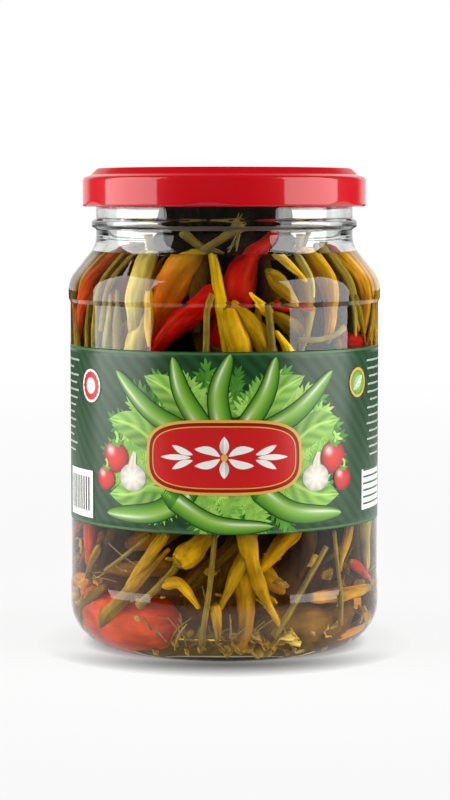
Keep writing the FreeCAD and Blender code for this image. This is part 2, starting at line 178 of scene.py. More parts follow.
def tube_faces(first, rings, sides):
    """The same, with a flat cap at each end."""
    last = first + (rings - 1) * sides
    caps = [tuple(first + k for k in reversed(range(sides))), tuple(last + k for k in range(sides))]
    return ring_quads(first, rings, sides) + caps


def turned(name, path, segments=288, reach=None, slot_of=lambda row: 0):
    """A closed solid turned from a path of (radius, height) that starts and ends on the axis.

    reach(radius, azimuth, height) may change a point's radius, and slot_of(index) gives a row's material."""
    rows = path[1:-1]
    vertices = [Vector((0, 0, path[0].y))]
    for radius, height in rows:
        for k in range(segments):
            azimuth = 360 * k / segments
            out = reach(radius, azimuth, height) if reach else radius
            vertices.append(around(azimuth, out, height))
    last = len(vertices)
    top = last - segments
    vertices.append(Vector((0, 0, path[-1].y)))
    faces = [(0, 1 + (k + 1) % segments, 1 + k) for k in range(segments)]
    faces += ring_quads(1, len(rows), segments)
    faces += [(top + k, top + (k + 1) % segments, last) for k in range(segments)]
    made = new_object(name, vertices, faces)
    for face in made.data.polygons:
        face.material_index = slot_of(face.index // segments)
    return made


# ---------------------------------------------------------------- material helpers
class Nodes:
    """A short way to write the node tree of a new material, or of a new world."""

    def __init__(self, name, world=False):
        self.owner = (bpy.data.worlds if world else bpy.data.materials).new(name)
        self.owner.use_nodes = True
        self.tree = self.owner.node_tree
        self.tree.nodes.clear()
        self.out = self.add("OutputWorld" if world else "OutputMaterial")

    def add(self, kind, *values, settings=None, **inputs):
        """A node, with values for its first sockets in their order, and inputs for sockets by name."""
        node = self.tree.nodes.new("ShaderNode" + kind)
        for key, value in (settings or {}).items():
            setattr(node, key, value)
        for index, value in enumerate(values):
            self.put(node.inputs[index], value)
        for key, value in inputs.items():
            self.put(node.inputs[key.replace("_", " ")], value)
        return node

    def put(self, socket, value):
        if isinstance(value, bpy.types.NodeSocket):
            self.tree.links.new(value, socket)
        else:
            socket.default_value = value

    def math(self, operation, *values):
        return self.add("Math", *values, settings={"operation": operation}).outputs[0]

    def mix(self, share, a, b):
        """Between two colours."""
        node = self.add("Mix", share, settings={"data_type": "RGBA"})
        self.put(node.inputs[6], a)
        self.put(node.inputs[7], b)
        return node.outputs[2]

    def eased(self, value, start, end, low, high):
        """Runs smoothly from low to high while value runs from start to end."""
        smooth = {"interpolation_type": "SMOOTHSTEP"}
        return self.add("MapRange", value, start, end, low, high, settings=smooth).outputs[0]

    def straight(self, margin):
        """1 for rays that have only passed through clear things, with at most margin other hits."""
        path = self.add("LightPath").outputs
        return self.math("COMPARE", path["Ray Depth"], path["Transmission Depth"], margin)

    def skin(self):
        return self.add("VertexColor", settings={"layer_name": "skin"}).outputs["Color"]

    def grain(self):
        return self.add("Attribute", settings={"attribute_name": "grain"}).outputs["Vector"]

    def lumps(self, scale, detail, roughness=0.5, along=None):
        """Noise, in lumps a metre or, drawn out along each pod, in lumps a millimetre across it."""
        where = self.grain() if along else self.add("TexCoord").outputs["Object"]
        mapping = self.add("Mapping", where, Scale=(1, 1, along or 1))
        fine = {"Scale": scale, "Detail": detail, "Roughness": roughness}
        return self.add("TexNoise", mapping.outputs[0], **fine).outputs[0]

    def bump(self, height, strength, distance):
        return self.add("Bump", Height=height, Strength=strength, Distance=distance).outputs[0]

    def surface(self, node):
        self.put(self.out.inputs["Surface"], node.outputs[0])
        return self.owner

    def principled(self, colour, **inputs):
        return self.surface(self.add("BsdfPrincipled", colour, **inputs))


def lets_lamps_through(nodes, shader):
    """The shader as seen, and clear to shadow rays and to light that has bounced off a rough surface."""
    path = nodes.add("LightPath").outputs
    share = nodes.math("MAXIMUM", path["Is Shadow Ray"], path["Is Diffuse Ray"])
    clear = nodes.add("BsdfTransparent", (1, 1, 1, 1))
    return nodes.surface(nodes.add("MixShader", share, shader.outputs[0], clear.outputs[0]))


GLASS_IOR = 1.5
BRINE_IOR = 1.335
BRINE_TINT = (0.965, 0.83, 0.10, 1)
BRINE_DENSITY = 130.0


def glass_material():
    nodes = Nodes("clear_glass")
    shader = nodes.add("BsdfGlass", (0.985, 0.995, 0.99, 1), Roughness=0.0, IOR=GLASS_IOR)
    return lets_lamps_through(nodes, shader)


def wetted_glass_material():
    """The inside of the glass below the brine, which mirrors almost nothing."""
    nodes = Nodes("wetted_glass")
    shader = nodes.add("BsdfRefraction", (0.99, 0.995, 0.99, 1), Roughness=0.0, IOR=GLASS_IOR)
    return lets_lamps_through(nodes, shader)


def brine_material(name, kind):
    nodes = Nodes(name)
    volume = nodes.add("VolumeAbsorption", BRINE_TINT, BRINE_DENSITY)
    nodes.put(nodes.out.inputs["Volume"], volume.outputs[0])
    return lets_lamps_through(nodes, nodes.add(kind, (1, 1, 1, 1), Roughness=0.0, IOR=BRINE_IOR))


# ---------------------------------------------------------------- the glass jar
RIDGES = 6
FIRST_RIDGE = -65.6
RIDGE_SWEEP = 66.0
RIDGE_LEAD = 21.0
RIDGE_LOW = BEAD_MIDDLE + 4.1
RIDGE_DEPTH = 2.05
RIDGE_HALF_HEIGHT = 0.9
RIDGE_END = 0.3
GLASS_STEP = 0.22


def inside_corners(grow=0.0):
    """The inside of the glass up to the neck, from the middle of the base, moved outwards by grow."""
    return (
        (0, PUSH_UP_TOP - grow, 0),
        (26.0, PUSH_UP_TOP - grow, 2.0),
        (31.0, BASE_TOP - grow, 2.0),
        (INSIDE_RADIUS + grow, BASE_TOP - grow, INSIDE_FILLET + grow),
        (INSIDE_RADIUS + grow, SHOULDER_CORNER - SHOULDER_DROP, 5.7),
        (BORE_RADIUS + grow, NECK_CORNER - SHOULDER_DROP, 11.0),
    )


def ridge_reach(radius, azimuth, height):
    """The neck's radius with the six sloping ridges that the lid's lugs bear on."""
    if radius < NECK_RADIUS - 0.01 or not RIDGE_LOW - 2 < height < RIM - 1.5:
        return radius
    best = 0.0
    for index in range(RIDGES):
        share = ((azimuth - FIRST_RIDGE - index * 360 / RIDGES) % 360) / RIDGE_SWEEP
        if share > 1:
            continue
        full = min(1.0, RIDGE_END + 9.0 * share, RIDGE_END + 9.0 * (1 - share))
        middle = RIDGE_LOW + RIDGE_LEAD * share * RIDGE_SWEEP / 360
        off = (height - middle) / (RIDGE_HALF_HEIGHT * full)
        if abs(off) < 1:
            best = max(best, RIDGE_DEPTH * full * math.sqrt(1 - off * off))
    return radius + best


def make_jar():
    corners = (
        (0, 3.0, 0),
        (26.0, 3.0, 2.0),
        (31.0, 0, 0.8),
        (HEEL_RADIUS, 0, HEEL_FILLET),
        (HEEL_RADIUS, 18.4, 1.5),
        (PANEL_RADIUS, 21.0, 4.0),
        (PANEL_RADIUS, 103.7, 1.0),
        (RING_RADIUS, 104.8, 0.7),
        (RING_RADIUS, SHOULDER_CORNER, 8.3),
        (NECK_RADIUS, NECK_CORNER, 8.4),
        (NECK_RADIUS, BEAD_MIDDLE - 1.6, 0.5),
        (BEAD_RADIUS, BEAD_MIDDLE - 0.8, 0.6),
        (BEAD_RADIUS, BEAD_MIDDLE + 0.8, 0.6),
        (NECK_RADIUS, BEAD_MIDDLE + 1.6, 0.5),
        (NECK_RADIUS, RIM, 1.0),
        (BORE_RADIUS, RIM, 1.0),
        (BORE_RADIUS, NECK_CORNER - SHOULDER_DROP, 11.0),
    )
    bore_edge = BORE_RADIUS + 1.0
    outside = [p for p in rounded(corners) if p.x >= bore_edge or not SHOULDER_CORNER < p.y < RIM - 2]
    outside = subdivided(outside, GLASS_STEP, BEAD_MIDDLE + 2, RIM - 1)
    inside = [Vector((BORE_RADIUS, RIM - 8)), *reversed(rounded(inside_corners()))]
    path = outside + inside
    split = next(i for i in range(len(outside), len(path)) if path[i].y < BRINE_LEVEL)
    above, below = path[split - 1], path[split]
    path.insert(split, above.lerp(below, (above.y - BRINE_LEVEL) / (above.y - below.y)))
    jar = turned("glass_jar", path, reach=ridge_reach, slot_of=lambda row: int(row >= split))
    finish_piece(jar, (glass_material(), wetted_glass_material()), "glass", "jar")


# ---------------------------------------------------------------- the brine
INTO_GLASS = 0.25
MENISCUS_RISE = 0.9
MENISCUS_WIDTH = 2.2
MENISCUS_STEPS = 12


def glass_reach(height):
    """Radius of the inside of the glass at a height."""
    if height < BASE_TOP + INSIDE_FILLET:
        drop = BASE_TOP + INSIDE_FILLET - max(height, BASE_TOP)
        return INSIDE_RADIUS - INSIDE_FILLET + math.sqrt(max(INSIDE_FILLET**2 - drop**2, 0))
    low, high = SHOULDER_CORNER - SHOULDER_DROP, NECK_CORNER - SHOULDER_DROP
    share = min(max((height - low) / (high - low), 0), 1)
    return INSIDE_RADIUS + (BORE_RADIUS - INSIDE_RADIUS) * share


def make_brine():
    wall = [p for p in rounded(inside_corners(INTO_GLASS)) if p.y < BRINE_LEVEL]
    edge = glass_reach(BRINE_LEVEL) + INTO_GLASS
    path = list(wall)
    for k in range(MENISCUS_STEPS + 1):
        inward = MENISCUS_WIDTH * 1.6 * k / MENISCUS_STEPS
        rise = MENISCUS_RISE * math.exp(-3 * inward / MENISCUS_WIDTH)
        path.append(Vector((edge - inward, BRINE_LEVEL + rise)))
    path += [Vector((edge * 0.6, BRINE_LEVEL)), Vector((0, BRINE_LEVEL))]
    brine = turned("brine_liquid", path, segments=192, slot_of=lambda row: int(row < len(wall)))
    surface = brine_material("brine_surface", "BsdfGlass")
    at_glass = brine_material("brine_at_glass", "BsdfRefraction")
    finish_piece(brine, (surface, at_glass), "brine", "brine")


# ---------------------------------------------------------------- the contents
def linear(red, green, blue):
    """A colour as it looks, 0 to 255 a channel, in the linear values that shaders take."""
    return tuple(((c / 255 + 0.055) / 1.055) ** 2.4 if c > 10 else c / 3295 for c in (red, green, blue))


def tinted(colour, factor):
    return tuple(c * factor for c in colour)


def blend(a, b, share):
    return tuple(x + (y - x) * share for x, y in zip(a, b))


RED = linear(186, 18, 6)
SCARLET = linear(226, 74, 8)
DARK_RED = linear(140, 18, 8)
ORANGE = linear(206, 106, 8)
DEEP_ORANGE = linear(190, 84, 8)
AMBER = linear(200, 146, 14)
YELLOW = linear(250, 202, 8)
BRIGHT_YELLOW = linear(255, 226, 24)
GOLD = linear(206, 160, 10)
OLIVE = linear(150, 124, 14)
DARK_OLIVE = linear(92, 76, 16)
PALE = linear(204, 190, 108)
PALE_GREEN = linear(160, 160, 84)
RUST = linear(214, 46, 0)
UMBER = linear(146, 124, 12)
BROWN = linear(84, 54, 20)
STEM = linear(128, 110, 40)
DRY_STEM = linear(150, 130, 70)
TOMATO = linear(208, 74, 36)
SEED = linear(196, 168, 96)
DILL = linear(156, 142, 92)
PETAL = linear(216, 186, 104)
# near-black colours of the pods and leaves that paint the shade in the neck under the lid
NIGHT = linear(30, 19, 9)
NIGHT_OLIVE = linear(46, 36, 14)

def place(azimuth, inset, height):
    """A point by its azimuth, its distance in from the side, the shoulder and the neck, and its height."""
    slope = (INSIDE_RADIUS - BORE_RADIUS) / (NECK_CORNER - SHOULDER_CORNER)
    shoulder = INSIDE_RADIUS - (height - SHOULDER_CORNER + SHOULDER_DROP) * slope
    radius = max(min(INSIDE_RADIUS - inset, shoulder - inset * math.hypot(1, slope)), BORE_RADIUS - inset)
    if height < BASE_TOP + INSIDE_FILLET:
        deep = min(BASE_TOP + INSIDE_FILLET - height, INSIDE_FILLET - inset - 0.1)
        spare = math.sqrt(max((INSIDE_FILLET - inset) ** 2 - deep**2, 0))
        radius = min(radius, INSIDE_RADIUS - INSIDE_FILLET + spare)
    return around(azimuth, radius, height)


def all_placed(places=()):
    return [place(*p) for p in places]


DENSE = 16


def curve(points, count):
    """Evenly shared points on a smooth line through the given ones, and the line's length."""
    ends = [points[0] * 2 - points[1], *points, points[-1] * 2 - points[-2]]
    dense = []
    for i in range(1, len(ends) - 2):
        a, b, c, d = ends[i - 1 : i + 3]
        for k in range(DENSE):
            t = k / DENSE
            square, cube = (2 * a - 5 * b + 4 * c - d) * t**2, (3 * b - a - 3 * c + d) * t**3
            dense.append(0.5 * (2 * b + (c - a) * t + square + cube))
    dense.append(points[-1].copy())
    run = [0.0]
    for a, b in zip(dense, dense[1:]):
        run.append(run[-1] + (b - a).length)
    line, at = [], 0
    for k in range(count):
        goal = run[-1] * k / (count - 1)
        while at < len(run) - 2 and run[at + 1] < goal:
            at += 1
        step = run[at + 1] - run[at]
        line.append(dense[at].lerp(dense[at + 1], (goal - run[at]) / step if step else 0))
    return line, run[-1]


def directions(line):
    """The unit direction of a line at each of its points."""
    return [(line[min(i + 1, len(line) - 1)] - line[max(i - 1, 0)]).normalized() for i in range(len(line))]


def random_spot(reach):
    return Vector([rng.uniform(0, reach) for _ in range(3)])


def ripple(seed, x, y=0.0, z=0.0):
    """Smooth noise from about -1 to 1."""
    return noise.noise(seed + Vector((x, y, z)))


POD_END = (0.78, 0.56, 0.34, 0.14, 0.02)
CALYX_RINGS = ((0.0, 0.70, 1.0), (0.16, 0.62, 1.0), (0.34, 0.40, 0.8), (0.60, 0.24, 0.7))


class Heap:
    """Everything of one kind, gathered into one mesh."""

    def __init__(self):
        self.vertices, self.faces, self.colours, self.grain = [], [], [], []

    def tube(self, line, radii, colours, sides, relief=lambda s, angle: (1.0, 1.0)):
        """A closed tube along line, with a radius and a colour for each ring. relief(share of the length,
        angle round it) gives factors for a point's distance from the line and for its colour."""
        side = None
        first = len(self.vertices)
        count = len(line)
        shift = random_spot(500)
        run = 0.0
        for i, (centre, radius, colour) in enumerate(zip(line, radii, colours)):
            ahead = line[min(i + 1, count - 1)] - line[max(i - 1, 0)]
            along = ahead.normalized() if ahead.length > 1e-4 else along
            if side is None:
                side = along.orthogonal().normalized()
            side = (side - along * side.dot(along)).normalized()
            up = along.cross(side)
            run += (centre - line[max(i - 1, 0)]).length
            for k in range(sides):
                angle = TAU * k / sides
                c, d = math.cos(angle), math.sin(angle)
                out = side * c + up * d
                lift, shade = relief(i / (count - 1), angle)
                self.vertices.append(centre + out * radius * lift)
                self.colours.append(tinted(colour, shade))
                self.grain.append(shift + Vector((c, d, 0)) * max(radius, 1.0) + Z * run)
        self.faces += tube_faces(first, count, sides)

    def pod(self, points, radius, base, tip, taper, rough=1.0, rings=34, sides=18, stem=(), blunt=0.3):
        """A chilli from its calyx to its tip, through the given places, with a stem through more of them."""
        seed = random_spot(90)
        dense, length = curve(points, 4 * rings)
        close = radius * blunt / length
        shares = [(1 - close) * i / (rings - 6) for i in range(rings - 5)]
        shares += [1 - close * k for k in POD_END]
        line, radii, colours = [], [], []
        flatness, lean = rng.uniform(0.04, 0.26) * rough, rng.uniform(0, TAU)
        twist = rng.uniform(-1.5, 1.5)
        neck = rng.uniform(0.5, 0.75)
        for s in shares:
            wander = noise.noise_vector(seed + Vector((s * length / 11, 5, 0))) * (0.28 * radius * rough)
            spot = dense[min(int(round(s * (len(dense) - 1))), len(dense) - 1)]
            line.append(spot + wander * math.sin(math.pi * s))
            start = neck + (1 - neck) * math.sin(min(s / 0.18, 1) * math.pi / 2)
            body = 1 - (1 - blunt) * max(0.0, (s - 0.16) / 0.84) ** taper
            round_off = math.sqrt(max(1 - max(0.0, 1 - (1 - s) / close) ** 2, 0.0005))
            swell = 1 + rough * 0.26 * ripple(seed, s * length / 6.5)
            radii.append(radius * start * body * round_off * swell)
            shade = 1 + 0.5 * ripple(seed, 0, s * length / 7, 3)
            colours.append(tinted(blend(base, tip, s), shade))

        def relief(s, angle):
            x, y = math.cos(angle + twist * s), math.sin(angle + twist * s)
            broad = ripple(seed, x * 1.1, y * 1.1, s * length / 12)
            crease = max(1 - abs(ripple(seed, x * 1.9 + 7, y * 1.9, s * length / 19)) * 3, 0.0) ** 2
            pit = ripple(seed, x * 3.2, y * 3.2, s * length / 4)
            lumps = rough * (0.16 * broad - 0.10 * crease + 0.05 * pit)
            # painted shade: the colour darkens in the creases and where the skin sinks, and lightens on the
            # bulges
            shade = 1 + 0.35 * broad - 0.28 * crease + 0.3 * pit
            return 1 - flatness * math.sin(angle + lean) ** 2 + lumps, shade

        self.tube(line, radii, colours, sides, relief)
        self.calyx(line, radius * neck / 0.66)
        if stem:
            self.stem([line[0], *stem], 0.24 * radius + 0.15)

    def calyx(self, line, radius):
        """The green cap at a pod's shoulder."""
        along = (line[0] - line[2]).normalized()
        start = line[0] - along * 0.10 * radius
        path = [start + along * radius * reach for reach, _, _ in CALYX_RINGS]
        radii = [radius * wide for _, wide, _ in CALYX_RINGS]
        self.tube(path, radii, [tinted(STEM, tone) for _, _, tone in CALYX_RINGS], 14)

    def stem(self, points, radius, colour=STEM, flare=1.35, sides=9, ribs=0.10):
        """A four-ribbed stalk that ends in a slightly thicker cut."""
        line, _ = curve(points, max(8, int(4 + 3.6 * len(points))))
        radii, colours = [], []
        for i, spot in enumerate(line):
            s = i / (len(line) - 1)
            radii.append(radius * (1 + (flare - 1) * s**5))
            colours.append(tinted(blend(colour, DRY_STEM, 0.3 * s), 1 + 0.25 * noise.noise(spot * 0.4)))
        phase = rng.uniform(0, TAU)

        def relief(s, angle):
            rib = ribs * math.cos(4 * angle + phase)
            # painted shade: the colour darkens between the ribs and lightens on them
            return 1 + rib, 1 + 2 * rib

        self.tube(line, radii, colours, sides, relief)

    def flake(self, points, wide, thick, facing, colour, steps=12, sides=10):
        """A thin curled flap, such as a leaf or a piece of skin, widest at its middle."""
        seed = random_spot(90)
        line, length = curve(points, steps)
        first = len(self.vertices)
        for i, (centre, along) in enumerate(zip(line, directions(line))):
            s = i / (steps - 1)
            up = (facing - along * facing.dot(along)).normalized()
            side = along.cross(up)
            reach = wide * math.sin(math.pi * (0.04 + 0.92 * s)) ** 0.45 * (1 + 0.4 * ripple(seed, 0, 0, i))
            for k in range(sides):
                angle = TAU * k / sides
                c, d = math.cos(angle), math.sin(angle)
                wave = ripple(seed, c * 1.6, s * 4) * 0.5 * wide
                self.vertices.append(centre + side * c * reach + up * (d * thick + wave))
                self.colours.append(tinted(colour, 1 + 0.5 * ripple(seed, c * 2, s * 5, 7)))
                self.grain.append(seed * 5 + Vector((c * reach, d * thick, s * length)))
        self.faces += tube_faces(first, steps, sides)

    def seed(self, centre, size, facing):
        """A flat round seed."""
        along = facing.orthogonal().normalized() * size
        tone = tinted(SEED, rng.uniform(0.6, 1.1))
        self.flake([centre - along, centre, centre + along], size, 0.3, facing, tone, 6, 8)

    def make(self, name, material, slot):
        piece = new_object(name, self.vertices, self.faces, colours=self.colours, grain=self.grain)
        finish_piece(piece, [material], slot)
        return piece


# The pods that can be told apart at the front: kind, radius, taper, colours at the calyx and at the tip,
# places from the calyx to the tip as (azimuth, inset, height), and any that the stem goes on through.
FRONT_PODS = (
    # the upper window, from the left
    ("olive", 2.4, 1.5, OLIVE, DARK_OLIVE, ((-78, 3, 114), (-82, 3, 105), (-84, 3, 94))),
    ("orange", 2.6, 1.5, DEEP_ORANGE, ORANGE, ((-86, 3.4, 106), (-81, 3.2, 99), (-80, 3, 88))),
    ("olive", 2.2, 1.4, OLIVE, OLIVE, ((-77, 2.8, 87), (-78, 2.5, 95), (-77, 2.4, 102))),
    ("olive", 1.9, 1.4, OLIVE, OLIVE, ((-66, 2.4, 84), (-65, 2.2, 95), (-64, 2.2, 104.5))),
    ("olive", 1.7, 1.4, PALE_GREEN, OLIVE, ((-60, 2.2, 84), (-59, 2, 95), (-59, 2, 106))),
    ("pale", 1.9, 1.5, PALE_GREEN, PALE, ((-52, 3, 84), (-52, 2.6, 95), (-49, 2.4, 107))),
    ("olive", 1.8, 1.5, OLIVE, PALE_GREEN, ((-47, 3.4, 84), (-46, 3, 96), (-46, 3, 108))),
    ("yellow", 1.8, 1.6, GOLD, YELLOW, ((-30, 2.6, 108), (-29.5, 2.2, 101), (-30, 2.2, 92))),
    ("pale", 3.7, 2.4, PALE, PALE, ((-31, 5, 101), (-37, 4.4, 94), (-44, 4.6, 85))),
    ("olive", 3.2, 1.6, BROWN, DARK_OLIVE, ((-11, 7.5, 116), (-10, 7, 108), (-12, 7, 96))),
    ("yellow", 3.9, 3.0, GOLD, GOLD, ((1.5, 4.6, 103.5), (4, 4.4, 97), (6.5, 4.4, 88), (7, 5, 80))),
    ("red", 4.4, 1.9, RED, RED, ((-3, 8.2, 106.5), (-14, 5.4, 101), (-25, 5.0, 94.5), (-34, 5.2, 86))),
    ("olive", 3.0, 2.6, OLIVE, GOLD, ((19, 4.6, 88), (13, 4, 96.5), (7, 3.6, 102), (3, 3.4, 105.5))),
    ("yellow", 1.7, 1.5, GOLD, YELLOW, ((18, 3, 101.5), (14, 2.4, 104.5), (9.6, 2, 107.8))),
    ("olive", 2.8, 2.0, DARK_OLIVE, OLIVE, ((32, 4.4, 95.5), (25, 4.2, 99), (18.5, 4.6, 102))),
    ("yellow", 2.4, 1.7, YELLOW, YELLOW, ((29, 3.0, 86), (24.5, 2.9, 92), (20, 2.8, 97))),
    ("olive", 3.2, 1.8, DARK_OLIVE, BROWN, ((28, 9, 113), (20, 8.5, 115), (13, 9, 114))),
    ("pale", 1.6, 1.6, PALE, YELLOW, ((23, 3.2, 117), (28, 2.6, 114), (34, 2.2, 109.8))),
    ("pale", 1.3, 2.2, PALE_GREEN, PALE, ((34.5, 2.4, 116.5), (36, 2, 111), (36, 2, 106))),
    ("olive", 2.3, 1.7, OLIVE, GOLD, ((19, 3.6, 111.5), (24, 3.2, 108.5), (30, 3, 104))),
    ("red", 1.4, 1.8, RED, RED, ((19, 3.4, 104.5), (23, 3, 103.4), (27, 3, 103))),
    ("red", 1.4, 1.8, RED, DEEP_ORANGE, ((30, 3, 104.3), (34, 3, 103.2), (38, 3.2, 103))),
    ("orange", 3.4, 1.7, AMBER, AMBER, ((64, 4.8, 116), (70, 4, 110.5), (73, 4, 103), (70, 4, 94))),
    ("yellow", 3.3, 2.2, GOLD, YELLOW, ((84, 4.4, 116), (86, 3.8, 108), (88, 3.8, 98), (87, 4.2, 86))),
    ("yellow", 2.6, 2.2, AMBER, GOLD, ((76, 6.5, 117), (79, 4.8, 111), (80, 4, 100), (79, 4.2, 88))),
    ("olive", 1.4, 1.3, OLIVE, OLIVE, ((60, 2, 106), (63, 1.8, 101), (69, 1.8, 91))),
    ("olive", 1.4, 1.3, OLIVE, OLIVE, ((80, 2, 106), (77, 1.8, 101), (70, 1.8, 91))),
    ("red", 3.4, 2.0, DARK_RED, RED, ((52, 5, 92), (66, 4.6, 92.5), (82, 4.6, 91))),
    ("olive", 3.0, 1.8, DARK_OLIVE, BROWN, ((24, 8.5, 106), (32, 8, 100), (40, 8, 92))),
    ("olive", 3.0, 1.8, OLIVE, PALE_GREEN, ((38, 8, 112), (38, 7.4, 102), (34, 7, 90))),
    # the lower window, from the left
    ("red", 4.2, 1.8, TOMATO, TOMATO, ((-67, 5.2, 52), (-68, 4.8, 40), (-70, 5, 25))),
    (
        "tomato", 6.3, 5.5, TOMATO, TOMATO,
        ((-80, 9.2, 13.4), (-64, 8.8, 11.6), (-42, 8.6, 11.4), (-21, 9.0, 12.0)),
    ),
    ("yellow", 2.8, 1.25, OLIVE, AMBER, ((-61, 3.1, 8.6), (-50, 3, 14.5), (-40, 2.9, 21), (-22, 3.4, 34))),
    ("yellow", 1.9, 1.3, GOLD, GOLD, ((-23, 2.6, 38.5), (-32, 2.2, 30), (-41, 2, 22))),
    ("olive", 1.5, 1.6, GOLD, OLIVE, ((-57, 2.4, 32.5), (-62, 2, 27.5), (-68, 1.8, 21.5))),
    ("olive", 2.8, 1.7, DARK_OLIVE, BROWN, ((-48, 6.5, 44), (-54, 6, 34), (-60, 6, 26))),
    (
        "yellow", 3.7, 2.0, GOLD, GOLD,
        ((-18, 4, 30), (-11, 4.1, 35), (-2, 4.4, 42)), ((-21, 3, 27), (-28, 2.4, 21.5), (-35, 2, 16.5)),
    ),
    ("yellow", 1.9, 1.6, AMBER, YELLOW, ((-25, 3.2, 23.4), (-17, 2.4, 23.6), (-9.4, 1.8, 17))),
    ("olive", 2.4, 1.8, OLIVE, GOLD, ((8, 4.4, 33), (3, 3.4, 24.5), (-2, 3, 16.5))),
    ("yellow", 1.5, 1.8, GOLD, GOLD, ((-3.4, 2.2, 18), (-3, 2.0, 12), (-3, 2.2, 7))),
    ("yellow", 2.75, 1.5, GOLD, GOLD, ((8, 3, 45), (9, 3, 36), (12, 2.8, 26), (22.6, 1.7, 10.8))),
    ("orange", 3.4, 1.5, AMBER, GOLD, ((31, 5.2, 40), (22, 5, 33), (13.5, 5, 27))),
    ("yellow", 3.3, 1.5, GOLD, AMBER, ((8, 6.5, 28), (9.4, 5.2, 19), (8.6, 4.2, 11), (7.2, 3.6, 4.8))),
    ("olive", 3.6, 2.0, OLIVE, GOLD, ((13, 8.5, 30), (20, 8, 24), (27, 8, 20))),
    ("yellow", 1.9, 1.5, GOLD, GOLD, ((59, 3, 41), (55.5, 2.8, 34), (50.5, 2.4, 25.5))),
    ("pale", 3.4, 1.6, PALE, PALE, ((72, 4.2, 46), (74, 4, 36), (76, 4, 23))),
    ("red", 1.7, 1.7, RED, TOMATO, ((58, 2.6, 27.5), (67, 2.2, 24.4), (77, 2.4, 20.5))),
    ("orange", 2.3, 1.9, AMBER, GOLD, ((37, 4.2, 18.6), (57, 3.6, 18), (80, 3.6, 17.4))),
    ("olive", 6.2, 3.4, linear(154, 116, 50), BROWN, ((20, 9.4, 11), (45, 8.6, 10.4), (74, 8.8, 11.6))),
    ("olive", 2.8, 1.8, DARK_OLIVE, BROWN, ((36, 7.5, 42), (38, 7, 33), (33, 7, 24))),
    ("olive", 2.6, 1.7, BROWN, DARK_OLIVE, ((68, 6.5, 44), (66, 6, 34), (72, 6.4, 24))),
)

# The bare stalks at the front: radius, and places as (azimuth, inset, height).
FRONT_STALKS = (
    (1.0, ((-50, 2.6, 118), (-54, 1.8, 111), (-57, 1.6, 104), (-58, 1.6, 92))),
    (0.9, ((-43, 3.4, 118.5), (-48, 2, 112), (-51, 1.6, 106), (-54, 1.6, 96))),
    (0.95, ((-4.4, 1.5, 107.4), (-6.4, 1.3, 103), (-6.7, 1.3, 96), (-7.2, 1.4, 84))),
    (1.15, ((16.4, 1.8, 104.8), (17.2, 1.5, 100), (18, 1.5, 94), (19, 1.6, 84))),
    (0.9, ((29, 1.4, 94.2), (38, 1.3, 94), (46, 1.3, 95), (52, 1.5, 97))),
    (1.1, ((-22, 5.5, 126), (-16, 7, 122), (-10, 9, 118), (-7, 11, 112))),
    (0.6, ((-29, 1.6, 38), (-40, 1.2, 31.5), (-52, 1.2, 25.5))),
    (0.72, ((-3.5, 1.6, 39), (-5.4, 1.2, 24), (-7.4, 1.2, 14), (-9.4, 1.6, 7))),
    (0.85, ((42.5, 1.5, 33.5), (33, 1.4, 24), (25, 1.4, 15), (20.2, 1.8, 9))),
    (0.72, ((46.5, 1.5, 38), (48.5, 1.2, 27), (50.5, 1.2, 18), (51.6, 1.5, 10))),
)

